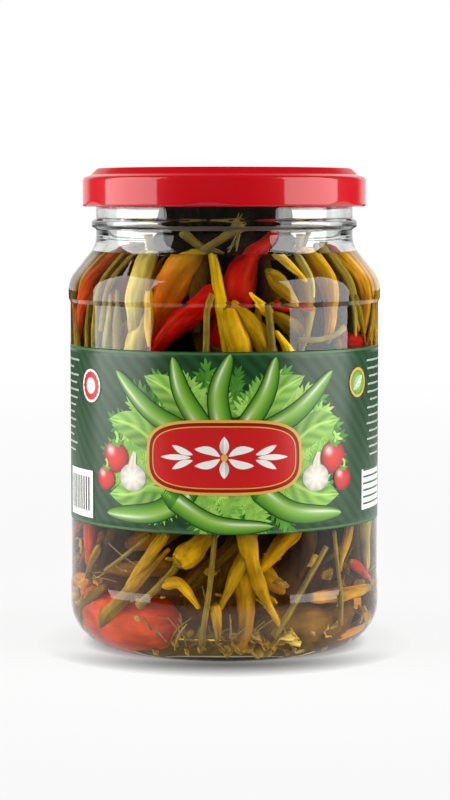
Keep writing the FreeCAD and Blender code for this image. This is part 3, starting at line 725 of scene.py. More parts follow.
# The pods that stand out of the brine, by the name of the solid that each one dresses.
STANDING_PODS = (
    (
        "red_left", "red", 3.4, 1.6, BROWN, SCARLET,
        ((-50, 4.6, 120.5), (-62, 4.2, 113), (-72, 4, 104), (-80, 4.4, 92)),
    ),
    (
        "pale_left", "pale", 3.5, 2.6, PALE, PALE,
        ((-39, 4.4, 117.5), (-37, 4, 110), (-37, 3.9, 101), (-39, 4.4, 91)),
        ((-40, 3.4, 120.5), (-41, 3, 124.5)),
    ),
    (
        "stem_left", "olive", 4.0, 1.7, OLIVE, DARK_OLIVE,
        ((-14, 15, 113), (-12, 17, 98), (-10, 19, 78)), ((-17, 12.5, 119), (-24, 7, 125.7)),
    ),
    (
        "orange_left", "orange", 5.3, 2.4, UMBER, RUST,
        ((-13.5, 6.6, 117), (-20, 5.8, 110.5), (-26, 5.7, 103), (-32, 6.4, 93)),
        ((-8, 6.6, 120.5), (0, 6.5, 124), (9.5, 6.5, 127.7)),
    ),
    (
        "yellow_front", "yellow", 3.2, 1.35, GOLD, BRIGHT_YELLOW,
        ((7, 7.5, 74), (3.6, 4.4, 89), (0, 3.8, 100), (-6.4, 2.6, 118)),
    ),
    (
        "red_long", "red", 4.7, 1.9, RED, RED,
        ((-2, 12.5, 92), (5, 9, 105), (13, 7.4, 114), (28.5, 5.4, 126.2)),
    ),
    (
        "orange_right", "orange", 3.2, 1.9, GOLD, AMBER,
        ((42, 4.4, 118.5), (46, 3.8, 110.5), (47, 3.7, 102), (45, 4, 92.5)),
        ((40.5, 3.4, 121.5), (41, 3, 124.7)),
    ),
    (
        "olive_right", "olive", 1.9, 1.5, OLIVE, PALE_GREEN,
        ((54, 3.4, 120.5), (57.5, 3.2, 113), (60, 2.8, 105), (61.5, 3, 93.5)),
    ),
    (
        "red_far_right", "red", 4.2, 1.8, RED, DARK_RED,
        ((101, 5, 119.5), (97.5, 5.2, 108), (98.5, 5.6, 92), (104, 6, 70)), ((102, 4.6, 123.2),),
    ),
    (
        "yellow_back_right", "yellow", 4.4, 1.8, GOLD, YELLOW,
        ((140, 5, 119.5), (134, 5.6, 107), (133, 5.8, 90), (138, 6, 70)), ((143, 4.2, 123.7),),
    ),
    (
        "orange_back", "orange", 4.5, 1.8, ORANGE, DEEP_ORANGE,
        ((-175, 6, 118), (175, 6.4, 105), (171, 6.2, 88), (166, 6.2, 68)), ((-173, 5.4, 121.7),),
    ),
    (
        "green_back_left", "olive", 4.3, 1.8, OLIVE, PALE_GREEN,
        ((-146, 5.4, 120), (-141, 6, 107), (-142, 6.2, 90), (-147, 6, 72)), ((-147, 4.4, 124.2),),
    ),
    (
        "yellow_far_left", "yellow", 4.2, 1.8, YELLOW, GOLD,
        ((-113, 5, 119.5), (-108, 5.4, 107), (-109, 5.8, 90), (-114, 6, 70)), ((-114, 4.6, 123.2),),
    ),
)

# The near-black ones that stand upright behind them, up in the neck, as painted shade under the lid: name,
# radius and places.
DARK_PODS = (
    ("left", 5.0, ((-134, 18, 92), (-137, 12.5, 113), (-139, 6.6, 131.5))),
    ("back_left", 5.0, ((-155, 18, 92), (-157.5, 12.5, 113), (-159, 6.6, 132))),
    ("back", 5.2, ((-180, 18, 92), (-179.5, 12.5, 113), (-179.5, 6.8, 133))),
    ("back_right", 5.0, ((156, 18, 92), (158.5, 12.5, 113), (159, 6.6, 132.5))),
    ("right", 5.0, ((135, 18, 92), (137, 12.5, 113), (138.5, 6.6, 131))),
    ("inner_left", 4.8, ((-158, 29, 91), (-160, 20, 112), (-166, 15, 129))),
    ("inner_right", 4.8, ((158, 29, 91), (160, 20, 112), (166, 15, 129))),
)
DARK_LOOK = (4.0, NIGHT, NIGHT_OLIVE)
STANDING_PODS += tuple(
    ("dark_" + name, "dark", radius, *DARK_LOOK, spots) for name, radius, spots in DARK_PODS
)


# ---------------------------------------------------------------- materials and pieces of the contents
def skin_material(name, roughness=0.38, specular=0.10, depth=0.25, soft=0.35):
    """Wet skin: the colour of each point, faintly streaked along the pod, blotched, and finely wrinkled."""
    nodes = Nodes(name)
    streaks = nodes.math("MULTIPLY", nodes.lumps(0.55, 3.0, 0.5, 0.16), 0.7)
    blotches = nodes.math("MULTIPLY", nodes.lumps(240, 4.0, 0.6), 1.6)
    light = nodes.math("SUBTRACT", nodes.math("ADD", streaks, blotches), 1.15)
    light = nodes.math("ADD", nodes.math("MULTIPLY", light, depth * 1.9), 1.0)
    light = nodes.math("MAXIMUM", light, 0.12)
    shade = nodes.add("VectorMath", nodes.skin(), Scale=light, settings={"operation": "SCALE"})
    fine = nodes.math("MULTIPLY", nodes.lumps(700, 3.0), 0.35)
    wrinkles = nodes.math("ADD", nodes.lumps(0.9, 3.0, 0.55, 0.25), fine)
    return nodes.principled(
        shade.outputs[0],
        Roughness=roughness,
        Specular_IOR_Level=specular,
        Subsurface_Weight=soft,
        Subsurface_Radius=(1.0, 0.45, 0.15),
        Subsurface_Scale=0.0016,
        Normal=nodes.bump(wrinkles, 0.6, 0.0006),
    )


class Crowd:
    """Remembers where pods lie, so that the next one can be kept from running through them."""

    CELL = 8.0

    def __init__(self):
        self.cells = {}

    def cell(self, point):
        return tuple(int(c // self.CELL) for c in point)

    def add(self, line, radius):
        for point in line:
            self.cells.setdefault(self.cell(point), []).append((point, radius))

    def crossed(self, line, radius, allowed):
        for point in line:
            around_it = ((c - 1, c, c + 1) for c in self.cell(point))
            for key in itertools.product(*around_it):
                for other, reach in self.cells.get(key, ()):
                    if (other - point).length < (radius + reach) * allowed:
                        return True
        return False


# Kinds of scattered pods: heap, the colours between which theirs lie, and how common they are.
KINDS = (
    ("olive", (OLIVE, DARK_OLIVE), 30),
    ("yellow", (GOLD, YELLOW), 20),
    ("orange", (ORANGE, DEEP_ORANGE), 16),
    ("red", (RED, DARK_RED), 12),
    ("pale", (PALE, PALE_GREEN), 12),
    ("olive", (AMBER, OLIVE), 10),
)
DULL_FRONT = 66  # degrees to either side of the front within which scattered pods are dull
CLEAR_FRONT = 58  # and within which the thin ones are left out
LOWEST = 5.2
HIGHEST = 115.5


def scatter_pods(heaps, crowd):
    """Fills what the listed pods leave free, all round, in the two bands that the label leaves open:
    thick pods farther in, and then thin ones at the glass, away from the front."""
    weights = [k[2] for k in KINDS]
    for tries, count, low, high, steep, thin in (
        (900, 90, 88, 112, 0.8, False),
        (900, 110, 7, 40, 0.25, False),
        (700, 34, 92, 113, 0.95, True),
        (700, 40, 10, 38, 0.3, True),
    ):
        made = 0
        for _ in range(tries):
            if made >= count:
                break
            radius = rng.uniform(1.1, 2.3) if thin else rng.uniform(1.6, 4.2)
            half = rng.uniform(7, 15) if thin else rng.uniform(9, 19)
            azimuth = rng.uniform(-180, 180)
            if thin and abs(azimuth) < CLEAR_FRONT:
                continue
            middle = rng.uniform(low, high)
            rise = math.radians(rng.uniform(35, 90) if rng.random() < steep else rng.uniform(0, 60))
            turn = math.degrees(half * math.cos(rise) / 36) * rng.choice((-1, 1))
            inset = radius + 0.4 + (rng.uniform(-1.2, 3) if thin else rng.uniform(0, 9))
            up = half * math.sin(rise)
            places = (
                (azimuth - turn, inset + rng.uniform(0, 2.5), middle + up),
                (azimuth + rng.uniform(-3, 3), inset, middle),
                (azimuth + turn, inset + rng.uniform(0, 2.5), middle - up),
            )
            places = [(a, i, min(max(z, LOWEST + radius), HIGHEST - radius)) for a, i, z in places]
            if rng.random() < 0.4:
                places.reverse()
            points = all_placed(places)
            line, _ = curve(points, 9)
            if crowd.crossed(line, radius, 0.6 if thin else 0.72):
                continue
            crowd.add(line, radius)
            kind, colours, _ = rng.choices(KINDS, weights)[0]
            tone = rng.uniform(0.45, 1.05)
            # painted shade: scattered pods near the front, behind the listed ones, are darkened by a quarter;
            # red and orange ones there are made olive and brown
            if abs(azimuth) < DULL_FRONT:
                tone *= 0.75
                if kind in ("red", "orange"):
                    kind, colours = "olive", (OLIVE, BROWN)
            base = tinted(blend(*colours, rng.random()), tone)
            tip = tinted(blend(*colours, rng.random()), tone)
            heaps[kind].pod(points, radius, base, tip, rng.uniform(1.3, 2.4), rings=26, sides=16)
            made += 1


def lumpy_core():
    """The dark mass behind the pods that can be told apart, painted shade for the deep gaps between them, and
    lighter towards the bottom as painted light for the glow of the murky brine there.
    """
    rows, sides = 72, 120
    vertices, colours = [], []
    dark, murky = linear(26, 17, 9), linear(142, 118, 76)
    for i in range(rows):
        s = i / (rows - 1)
        height = 4.6 + 109.4 * s
        closing = min(1.0, (s / 0.05) ** 0.5, ((1 - s) / 0.03) ** 0.5)
        # painted light: the mass grows lighter towards the bottom, for the glow of the murky brine there
        share = max(0.0, 1 - height / 42) ** 1.3
        for k in range(sides):
            azimuth = 360 * k / sides
            spot = around(azimuth, 30, height)
            lump = noise.noise(spot * 0.11) * 3.2 + noise.noise(spot * 0.3) * 1.2
            vertices.append(around(azimuth, max(0.4, (28.5 + lump) * closing), height))
            colours.append(tinted(blend(dark, murky, share), 1 + 0.5 * noise.noise(spot * 0.25)))
    core = new_object("shade_mass_behind", vertices, tube_faces(0, rows, sides), colours=colours, grain=vertices)
    finish_piece(core, [skin_material("shade_mass_skin", 0.8, 0.0, 0.4, 0.0)], "olive_pepper")


def fibres(heap, start, end, count, spread, radius, colour):
    """A frayed bundle between two places."""
    for _ in range(count):
        points = [place(*start)]
        for share in (0.5, 1.0):
            spot = [a + (b - a) * share + rng.uniform(-w, w) * share for a, b, w in zip(start, end, spread)]
            points.append(place(spot[0], max(spot[1], 1.0), spot[2]))
        heap.stem(points, radius * rng.uniform(0.7, 1.3), tinted(colour, rng.uniform(0.6, 1.2)), 0.7, 6)


# Frayed bundles: the places of both ends, how many fibres, how far they spread, and their radius and colour.
FRAYED = (
    ((0, 6.4, 124), (9, 6.4, 128.6), 9, (3, 1.5, 2.0), 0.28, DRY_STEM),
    ((9, 6.4, 127), (4, 5.4, 119), 5, (2.5, 1.2, 1.0), 0.25, DRY_STEM),
    ((44, 3.6, 119), (48, 4.0, 126), 6, (2.5, 1.0, 1.5), 0.3, STEM),
    ((-14, 7, 121), (-2, 7, 117.6), 4, (3, 1.0, 1.0), 0.3, DRY_STEM),
)
FRONT_DILL, DILL_ALL_ROUND, SEEDS, FRONT_PETALS, FLAPS = 26, 40, 150, 24, 60
FIXED_LEAVES, LOOSE_LEAVES = 11, 64


def petal_points(azimuth, insets, height, waver):
    """Three points in a row round the jar."""
    spots = []
    for k in (-1, 0, 1):
        turn = azimuth + k * rng.uniform(2, 4)
        spots.append(place(turn, rng.uniform(*insets), height + rng.uniform(-waver, waver)))
    return spots


def facing_out(azimuth, out, up):
    return around(azimuth, out, up).normalized()


def add_herbs(heaps):
    """Dill, seeds, frayed stalks and flaps of skin, and near-black leaves that stand in the neck as painted
    shade.
    """
    olive, pale, dark = heaps["olive"], heaps["pale"], heaps["dark"]
    for bundle in FRAYED:
        fibres(olive, *bundle)
    for _ in range(FRONT_DILL):
        start = (rng.uniform(-30, 8), rng.uniform(1.2, 5), rng.uniform(5, 9))
        end = (start[0] + rng.uniform(-12, 12), rng.uniform(1.2, 4), start[2] + rng.uniform(-1, 9))
        fibres(olive, start, end, 1, (1, 0.5, 0.5), 0.22, DILL)
    for _ in range(DILL_ALL_ROUND):
        start = (rng.uniform(-180, 180), rng.uniform(1.2, 8), rng.uniform(5, 30))
        end = (start[0] + rng.uniform(-16, 16), rng.uniform(1.2, 8), start[2] + rng.uniform(-3, 9))
        fibres(olive, start, end, 1, (1, 0.5, 0.5), 0.2, DILL)
    for _ in range(SEEDS):
        azimuth, inset = rng.uniform(-180, 180), rng.uniform(1.5, 12)
        spot = place(azimuth, inset, min(LOWEST + rng.expovariate(0.35), 34))
        size = rng.uniform(0.7, 1.3)
        pale.seed(spot, size, Vector((rng.gauss(0, 1), rng.gauss(0, 1), 1)).normalized())
    for _ in range(FRONT_PETALS):
        azimuth, height = rng.uniform(6, 52), rng.uniform(5.6, 10)
        points = petal_points(azimuth, (2, 6), height, 1)
        wide = rng.uniform(1.2, 3.0)
        pale.flake(points, wide, 0.25, facing_out(azimuth, 0.6, 0.8), tinted(PETAL, rng.uniform(0.6, 1.1)))
    for _ in range(FLAPS):
        azimuth, height = rng.uniform(-180, 180), rng.uniform(5.4, 34)
        points = petal_points(azimuth, (3, 9), height, 1.5)
        facing = facing_out(azimuth, 0.7, rng.uniform(-0.5, 0.8))
        wide = rng.uniform(0.8, 2.2)
        colour = blend(PETAL, OLIVE, rng.random())
        pale.flake(points, wide, 0.22, facing, tinted(colour, rng.uniform(0.5, 1.0)))
    # painted shade: near-black leaves that fill the gaps between the dark pods in the neck
    for k in range(FIXED_LEAVES):
        azimuth = 142 + 7.6 * k
        points = all_placed(((azimuth - 2, 13, 113), (azimuth + 1, 11, 123.5), (azimuth, 7, 134)))
        dark.flake(points, 6.0, 0.25, facing_out(azimuth, 1, 0.2), tinted(NIGHT_OLIVE, 0.7 + 0.25 * (k % 3)))
    for _ in range(LOOSE_LEAVES):
        azimuth = 180 + rng.uniform(-40, 40)
        low = rng.uniform(114, 124)
        high = min(low + rng.uniform(9, 13), 134.0)
        inset = rng.uniform(4.5, 15)
        points = [
            place(azimuth + rng.uniform(-5, 5), inset + rng.uniform(-2, 2), height)
            for height in (low, low + (high - low) * 0.5, low + (high - low))
        ]
        tone = tinted(NIGHT_OLIVE, rng.uniform(0.4, 1.6))
        dark.flake(points, rng.uniform(2.8, 4.8), 0.2, facing_out(azimuth, 1, 0.2), tone)


# painted shade: the share of their brightness that pods in the lower window keep
LOWER_TONE = 0.8


def make_contents():
    heaps = {kind: Heap() for kind in ("red", "orange", "yellow", "olive", "pale", "dark")}
    crowd = Crowd()
    materials = {kind: skin_material(f"{kind}_pepper_skin") for kind in heaps if kind != "dark"}
    # a dull skin for the near-black pods and leaves that paint the shade in the neck
    materials["dark"] = skin_material("dark_pepper_skin_dull", 0.7, 0.03, 0.5, 0.0)

    def crowded(places, radius):
        points = all_placed(places)
        crowd.add(curve(points, 12)[0], radius)
        return points

    for name, kind, radius, taper, base, tip, places, *stem in STANDING_PODS:
        points = crowded(places, radius)
        blunt, rough = (0.85, 0.5) if kind == "dark" else (0.3, 0.8)
        single = Heap()
        single.pod(points, radius, base, tip, taper, rough, 48, 28, all_placed(*stem), blunt)
        piece = single.make(f"{name}_pepper_skin", materials[kind], kind + "_pepper")
        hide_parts("pepper_" + name)
    for kind, radius, taper, base, tip, places, *stem in FRONT_PODS:
        points = crowded(places, radius)
        if kind == "tomato":
            tomato = Heap()
            tomato.pod(points, radius, base, tip, taper, rough=0.12, rings=46, sides=32, blunt=0.9)
            tomato.make("tomato_piece", skin_material("tomato_skin", 0.4, 0.15, 0.22, 0.4), "red_pepper")
            continue
        # painted shade on the pods of the lower window
        tone = LOWER_TONE if places[0][2] < LABEL_HIGH - 20 else 1.0
        colours = (tinted(base, tone), tinted(tip, tone))
        heaps[kind].pod(points, radius, *colours, taper, rings=46, sides=26, stem=all_placed(*stem))
    for radius, places in FRONT_STALKS:
        heaps["olive"].stem(crowded(places, radius), radius)
    scatter_pods(heaps, crowd)
    add_herbs(heaps)
    for kind, heap in heaps.items():
        heap.make("neck_shade_leaves" if kind == "dark" else f"{kind}_pods", materials[kind], kind + "_pepper")
    lumpy_core()


# ---------------------------------------------------------------- the label
PAPER = 0.09
PRINT_LAYER = 0.014
PRINT_MARGIN = 0.2
LAP = 9.0
RULE_LENGTH = 16.0
LABEL_MIDDLE = (LABEL_LOW + LABEL_HIGH) / 2
LABEL_HALF_HEIGHT = LABEL_HIGH - LABEL_MIDDLE
LABEL_HALF_TURN = math.pi * LABEL_RADIUS
GROUND_GREEN = linear(26, 64, 32)
LEAF = linear(86, 152, 44)
LIGHT_LEAF = linear(168, 210, 96)
DEEP_LEAF = linear(34, 92, 30)
EDGE_GREEN = linear(60, 104, 52)
CHILLI = linear(96, 158, 40)
LIGHT_CHILLI = linear(176, 210, 96)
DEEP_CHILLI = linear(44, 96, 20)
PRINT_RED = linear(196, 28, 26)
DEEP_RED = linear(134, 14, 16)
CHERRY = linear(214, 40, 34)
DEEP_CHERRY = linear(120, 12, 14)
CLOVE = linear(240, 236, 220)
CLOVE_STRIPE = linear(190, 170, 178)
PRINT_GOLD = linear(222, 170, 74)
PRINT_WHITE = linear(236, 238, 230)
PRINT_INK = linear(38, 44, 40)
PALE_RULE = linear(176, 190, 176)


def heading(angle):
    return Vector((math.cos(angle), math.sin(angle), 0))


def beside(along):
    return Vector((-along.y, along.x, 0))


def flat(points):
    return [Vector((p[0], p[1], 0)) for p in points]


class Print:
    """Thin printed shapes on the label, laid out by millimetres to the right of its front and above its
    middle. A later layer lies over an earlier one. A colour may be a function of s and t, from 0 to 1."""

    def __init__(self):
        self.vertices, self.faces, self.colours = [], [], []

    def patch(self, spot, wide, long, layer, colour):
        """A sheet of wide by long squares, which spot(s, t) places."""
        first = len(self.vertices)
        radius = LABEL_RADIUS + layer * PRINT_LAYER
        most = LABEL_HALF_HEIGHT - PRINT_MARGIN
        for i in range(wide + 1):
            for k in range(long + 1):
                across, up = spot(i / wide, k / long)
                up = min(max(up, -most), most)
                self.vertices.append(around(math.degrees(across / LABEL_RADIUS), radius, LABEL_MIDDLE + up))
                self.colours.append(colour(i / wide, k / long) if callable(colour) else colour)
        for i in range(wide):
            for k in range(long):
                a = first + i * (long + 1) + k
                self.faces.append((a, a + long + 1, a + long + 2, a + 1))

    def band(self, left, right, low, high, layer, colour):
        wide = max(1, math.ceil((right - left) / 1.2))
        self.patch(lambda s, t: (left + (right - left) * s, low + (high - low) * t), wide, 1, layer, colour)

    def disc(self, across, up, wide, high, layer, colour, power=2.0, corners=0, swell=0.0):
        """A filled ellipse, squarer for a greater power, or a star with the given number of corners."""

        def spot(s, t):
            angle = TAU * t
            c, d = math.cos(angle), math.sin(angle)
            reach = (abs(c) ** power + abs(d) ** power) ** (-1 / power)
            reach *= 1 + swell * math.cos(corners * angle)
            return across + wide * s * c * reach, up + high * s * d * reach

        rings = max(2, math.ceil(wide / 1.2))
        self.patch(spot, rings, 24 if wide < 3 else 48 if wide < 8 else 120, layer, colour)

    def ribbon(self, points, width, layer, colour, steps=28, columns=6):
        """A strip along a smooth line; width is its half width, or a function that gives it for s."""
        line, _ = curve(flat(points), steps + 1)
        sides = [beside(along) for along in directions(line)]

        def spot(s, t):
            i = int(round(s * steps))
            put = line[i] + sides[i] * (2 * t - 1) * (width(s) if callable(width) else width)
            return put.x, put.y

        self.patch(spot, steps, columns, layer, colour)

    def leaf(self, points, wide, layer, light=LIGHT_LEAF, dark=LEAF):
        """A broad leaf with a pale rib and veins."""

        def colour(s, t):
            off = abs(2 * t - 1)
            vein = math.cos(26 * s - 7 * off)
            shade = blend(dark, light, 0.5 + 0.35 * vein) if off > 0.16 else tinted(light, 1.2)
            return tinted(shade, 0.75 + 0.35 * s - 0.2 * (t > 0.5))

        def width(s):
            return wide * math.sin(math.pi * min(s + 0.02, 1)) ** 0.75 + 0.05

        self.ribbon(points, width, layer, colour, 30, 10)

    def chilli(self, points, wide, layer):
        """A green chilli with a highlight along it, a calyx and a stem."""

        def body(s):
            return wide * min(1, 0.55 + 5 * s) * math.sqrt(max(1 - s**2.6, 0.003))

        def colour(s, t):
            off = 2 * t - 1
            round_shade = math.sqrt(max(1 - off * off, 0))
            shine = math.exp(-(((off - 0.35) / 0.16) ** 2)) * (0.55 + 0.45 * math.sin(9 * s + 1))
            base = blend(DEEP_CHILLI, CHILLI, round_shade**1.5)
            glow = blend(base, LIGHT_CHILLI, 0.5 * math.exp(-(((off - 0.2) / 0.45) ** 2)))
            return blend(glow, PRINT_WHITE, min(1, 0.8 * shine))

        def cap_colour(s, t):
            return blend(LEAF, DEEP_LEAF, abs(2 * t - 1))

        def stalk_colour(s, t):
            return blend(LIGHT_LEAF, LEAF, t)

        self.ribbon(points, lambda s: body(s) + 0.3, layer, tinted(DEEP_CHILLI, 0.35), 36, 6)
        self.ribbon(points, body, layer + 1, colour, 36, 12)
        line, _ = curve(flat(points), 20)
        back = (line[0] - line[2]).normalized()
        end = line[0] + back * wide * 2.3 + beside(back) * wide * 0.9
        cap = (line[2], line[1], line[0] + back * wide * 0.5)
        stalk = (line[1], line[0] + back * wide * 0.9, end)
        self.ribbon(cap, lambda s: wide * (0.95 - 0.6 * s * s), layer + 2, cap_colour, 8, 6)
        self.ribbon(stalk, lambda s: 0.32 * wide + 0.12 * wide * s**3, layer + 2, stalk_colour, 12, 3)

    def sprig(self, across, up, turn, length, layer, light=LIGHT_LEAF, dark=LEAF):
        """A feathery herb: a stalk with pairs of lobed leaflets, and one at its end."""
        along = heading(turn)
        root = Vector((across, up, 0))
        bend = rng.uniform(-0.15, 0.15) * length

        def at(share):
            return root + along * length * share + beside(along) * bend * share * share

        self.ribbon([at(share) for share in (0, 0.35, 0.7, 1.0)], 0.22, layer, tinted(light, 0.9), 14, 2)
        for k in range(7):
            share = 0.28 + 0.12 * k
            size = length * 0.30 * (1.15 - 0.55 * share)
            end = k == 6
            for sign in (-1,) if end else (-1, 1):
                angle = turn + sign * (0.20 if end else 0.95) + rng.uniform(-0.2, 0.2)
                tone = blend(dark, light, rng.uniform(0.15, 1.0))
                self.leaflet(at(share), angle, size, layer + 1, tone)

    def leaflet(self, base, angle, size, layer, tone):
        """Three lobes that spread from one point."""
        for lobe in (-0.75, 0, 0.75):
            reach, light = (0.75, 1.0) if lobe else (0.95, 1.15)
            tip = base + heading(angle) * size * 0.35 + heading(angle + lobe) * size * reach
            points = (base, (base + tip) / 2, tip)

            def width(s):
                return size * 0.17 * math.sin(math.pi * min(0.12 + 0.86 * s, 1)) + 0.02

            self.ribbon(points, width, layer, tinted(tone, light), 6, 2)

    def cherry_pepper(self, across, up, size, layer):
        def colour(s, t):
            x, y = s * math.cos(TAU * t), s * math.sin(TAU * t)
            light = math.exp(-((x + 0.35) ** 2 + (y - 0.4) ** 2) / 0.06)
            return blend(blend(CHERRY, DEEP_CHERRY, s**2.5), PRINT_WHITE, 0.75 * light)

        self.disc(across, up, size, size * 0.94, layer, colour, swell=0.03, corners=3)
        left, foot = across + 0.1 * size, up + 0.82 * size
        self.disc(left, foot, 0.42 * size, 0.22 * size, layer + 1, LEAF, swell=0.3, corners=5)
        stalk = ((left, up + 0.85 * size), (across + 0.2 * size, up + 1.2 * size), (across, up + 1.5 * size))
        self.ribbon(stalk, 0.08 * size + 0.1, layer + 2, LIGHT_LEAF, 8, 2)

    def garlic(self, across, up, size, layer):
        def colour(s, t):
            stripe = 0.5 + 0.5 * math.cos(8 * TAU * t)
            return tinted(blend(CLOVE, CLOVE_STRIPE, 0.55 * stripe * s), 1 - 0.35 * s**3)

        def neck_colour(s, t):
            return colour(0.7, t / 4)

        self.disc(across, up, size, size * 0.86, layer, colour)
        neck = [(across + x * size, up + y * size) for x, y in ((0, 0.6), (0.05, 1.1), (0.2, 1.6))]
        self.ribbon(neck, lambda s: size * (0.34 - 0.22 * s), layer + 1, neck_colour, 10, 4)

    def rules(self, left, low, high, count, centred=False):
        """Plain lines of uneven length, where fine print would stand."""
        for k in range(count):
            up = high - (high - low) * k / (count - 1)
            share = rng.uniform(0.55, 1.0)
            start = left + (RULE_LENGTH * (1 - share) / 2 if centred else 0)
            self.band(start, start + RULE_LENGTH * share, up - 0.28, up + 0.28, 3, PALE_RULE)

    def stripes(self, left, low, wide, high, step, count, layer, colour):
        """Bars of one size, each set off from the last by step."""
        for k in range(count):
            x, y = left + step[0] * k, low + step[1] * k
            self.band(x, x + wide, y, y + high, layer, colour)


def paper_material():
    """Coated paper with a dark green ground and faint slanting stripes."""
    nodes = Nodes("printed_paper")
    slanting = {"bands_direction": "DIAGONAL"}
    wave = nodes.add("TexWave", nodes.grain(), settings=slanting, Scale=0.13, Distortion=0.6, Detail=1.0)
    dark, light = (*tinted(GROUND_GREEN, 0.72), 1), (*tinted(GROUND_GREEN, 1.35), 1)
    green = nodes.mix(wave.outputs["Fac"], dark, light)
    return nodes.principled(green, Roughness=0.30, Specular_IOR_Level=0.5)


def print_material():
    nodes = Nodes("printing_ink")
    return nodes.principled(nodes.skin(), Roughness=0.30, Specular_IOR_Level=0.5)


def make_label():
    sides, rows = 360, 24
    inner = LABEL_RADIUS - PAPER
    profile = [(inner, LABEL_LOW)]
    profile += [(LABEL_RADIUS, LABEL_LOW + (LABEL_HIGH - LABEL_LOW) * i / rows) for i in range(rows + 1)]
    profile += [(inner, LABEL_HIGH)]
    vertices, grain = [], []
    for radius, height in profile:
        for k in range(sides):
            azimuth = 360 * k / sides - 180
            vertices.append(around(azimuth, radius, height))
            grain.append((math.radians(azimuth) * LABEL_RADIUS, height, 0))
    faces = [tuple(i % len(vertices) for i in face) for face in ring_quads(0, len(profile) + 1, sides)]
    sleeve = new_object("label_sleeve", vertices, faces, grain=grain)
    finish_piece(sleeve, [paper_material()], "label_paper", "label")
    art = Print()
    draw_wreath(art)
    draw_plate(art, -4)
    draw_panels(art)
    ink = new_object("label_print", art.vertices, art.faces, colours=art.colours)
    finish_piece(ink, [print_material()], "label_paper")


WREATH_LEAVES = (
    (((17, -3), (27, 4), (37, 6)), 4.4),
    (((16, -9), (27, -15), (37, -16)), 4.4),
    (((8, 4), (15, 14), (24, 19)), 4.2),
)
WREATH_CHILLIES = (
    (((9, 2), (22, 9), (34, 20)), 2.9),
    (((5, 3), (12, 14), (15, 24.5)), 2.9),
    (((8, -12), (20, -20), (38, -21.5)), 3.1),
)
SPRIGS = 22


def draw_wreath(art):
    """Edge lines, and a wreath of herbs, leaves, chillies, cherry peppers and garlic."""
    for low in (LABEL_HALF_HEIGHT - 0.95, 0.25 - LABEL_HALF_HEIGHT):
        art.band(-LABEL_HALF_TURN, LABEL_HALF_TURN, low, low + 0.7, 1, EDGE_GREEN)
    for k in range(SPRIGS):
        turn = TAU * (k + 0.5) / SPRIGS
        across, up = 17 * math.cos(turn), -3 + 7.5 * math.sin(turn)
        length = 15 + 5 * abs(math.cos(turn))
        art.sprig(across, up, turn + rng.uniform(-0.2, 0.2), length, 2, LEAF, DEEP_LEAF)
        art.sprig(across, up, turn + rng.uniform(-0.1, 0.3), length * 0.9, 4)
    for draw, shapes, layer in ((art.leaf, WREATH_LEAVES, 6), (art.chilli, WREATH_CHILLIES, 9)):
        for points, wide in shapes:
            draw(points, wide, layer)
            draw([(-u, v) for u, v in points], wide, layer)
    art.chilli(((0, 2), (-1.8, 14), (1.8, 25.5)), 3.0, 12)
    art.chilli(((-17, -15), (-3, -23), (14, -24)), 2.7, 13)
    for sign in (-1, 1):
        art.cherry_pepper(sign * 34.5, -5, 5.0, 13)
        art.cherry_pepper(sign * 38.5, -11.5, 3.8, 16)
        art.garlic(sign * 28, -10.5, 4.6, 15)


PLATE_HALF_WIDTH = 23.0
PLATE_HALF_HEIGHT = 10.8
# Petals of the flourish, to the right of its middle: points and half width.
PETALS = (
    (((1.2, 0.4), (4.2, 2.0), (8.4, 2.4)), 1.1),
    (((1.2, -0.4), (4.2, -2.0), (8.4, -2.4)), 1.1),
    (((9.0, 0.8), (12.0, 1.8), (15.0, 3.4)), 0.9),
    (((9.0, -0.8), (12.0, -1.8), (15.0, -3.4)), 0.9),
    (((9.6, 0.0), (13.6, 0.0), (18.4, 0.0)), 0.8),
)


def draw_plate(art, middle):
    """The red plate with a gold line round it and a white flourish on it."""
    for inset, layer, colour in (
        (0.0, 19, PRINT_GOLD),
        (0.8, 20, DEEP_RED),
        (1.3, 21, lambda s, t: blend(PRINT_RED, DEEP_RED, 0.8 * s**5)),
        (1.8, 22, PRINT_GOLD),
        (2.1, 23, PRINT_RED),
    ):
        art.disc(0, middle, PLATE_HALF_WIDTH - inset, PLATE_HALF_HEIGHT - inset, layer, colour, power=3.4)
    for sign in (-1, 1):
        for points, wide in PETALS:
            petal = [(sign * u, middle + v) for u, v in points]
            art.ribbon(petal, lambda s: wide * math.sin(math.pi * s) ** 0.8 + 0.04, 24, PRINT_WHITE, 24, 4)
        upright = [(0, middle + sign * v) for v in (0.8, 3.2, 6.0)]
        art.leaf(upright, 1.3, 24, PRINT_WHITE, PRINT_WHITE)
    art.disc(0, middle, 1.0, 1.0, 25, PRINT_GOLD)


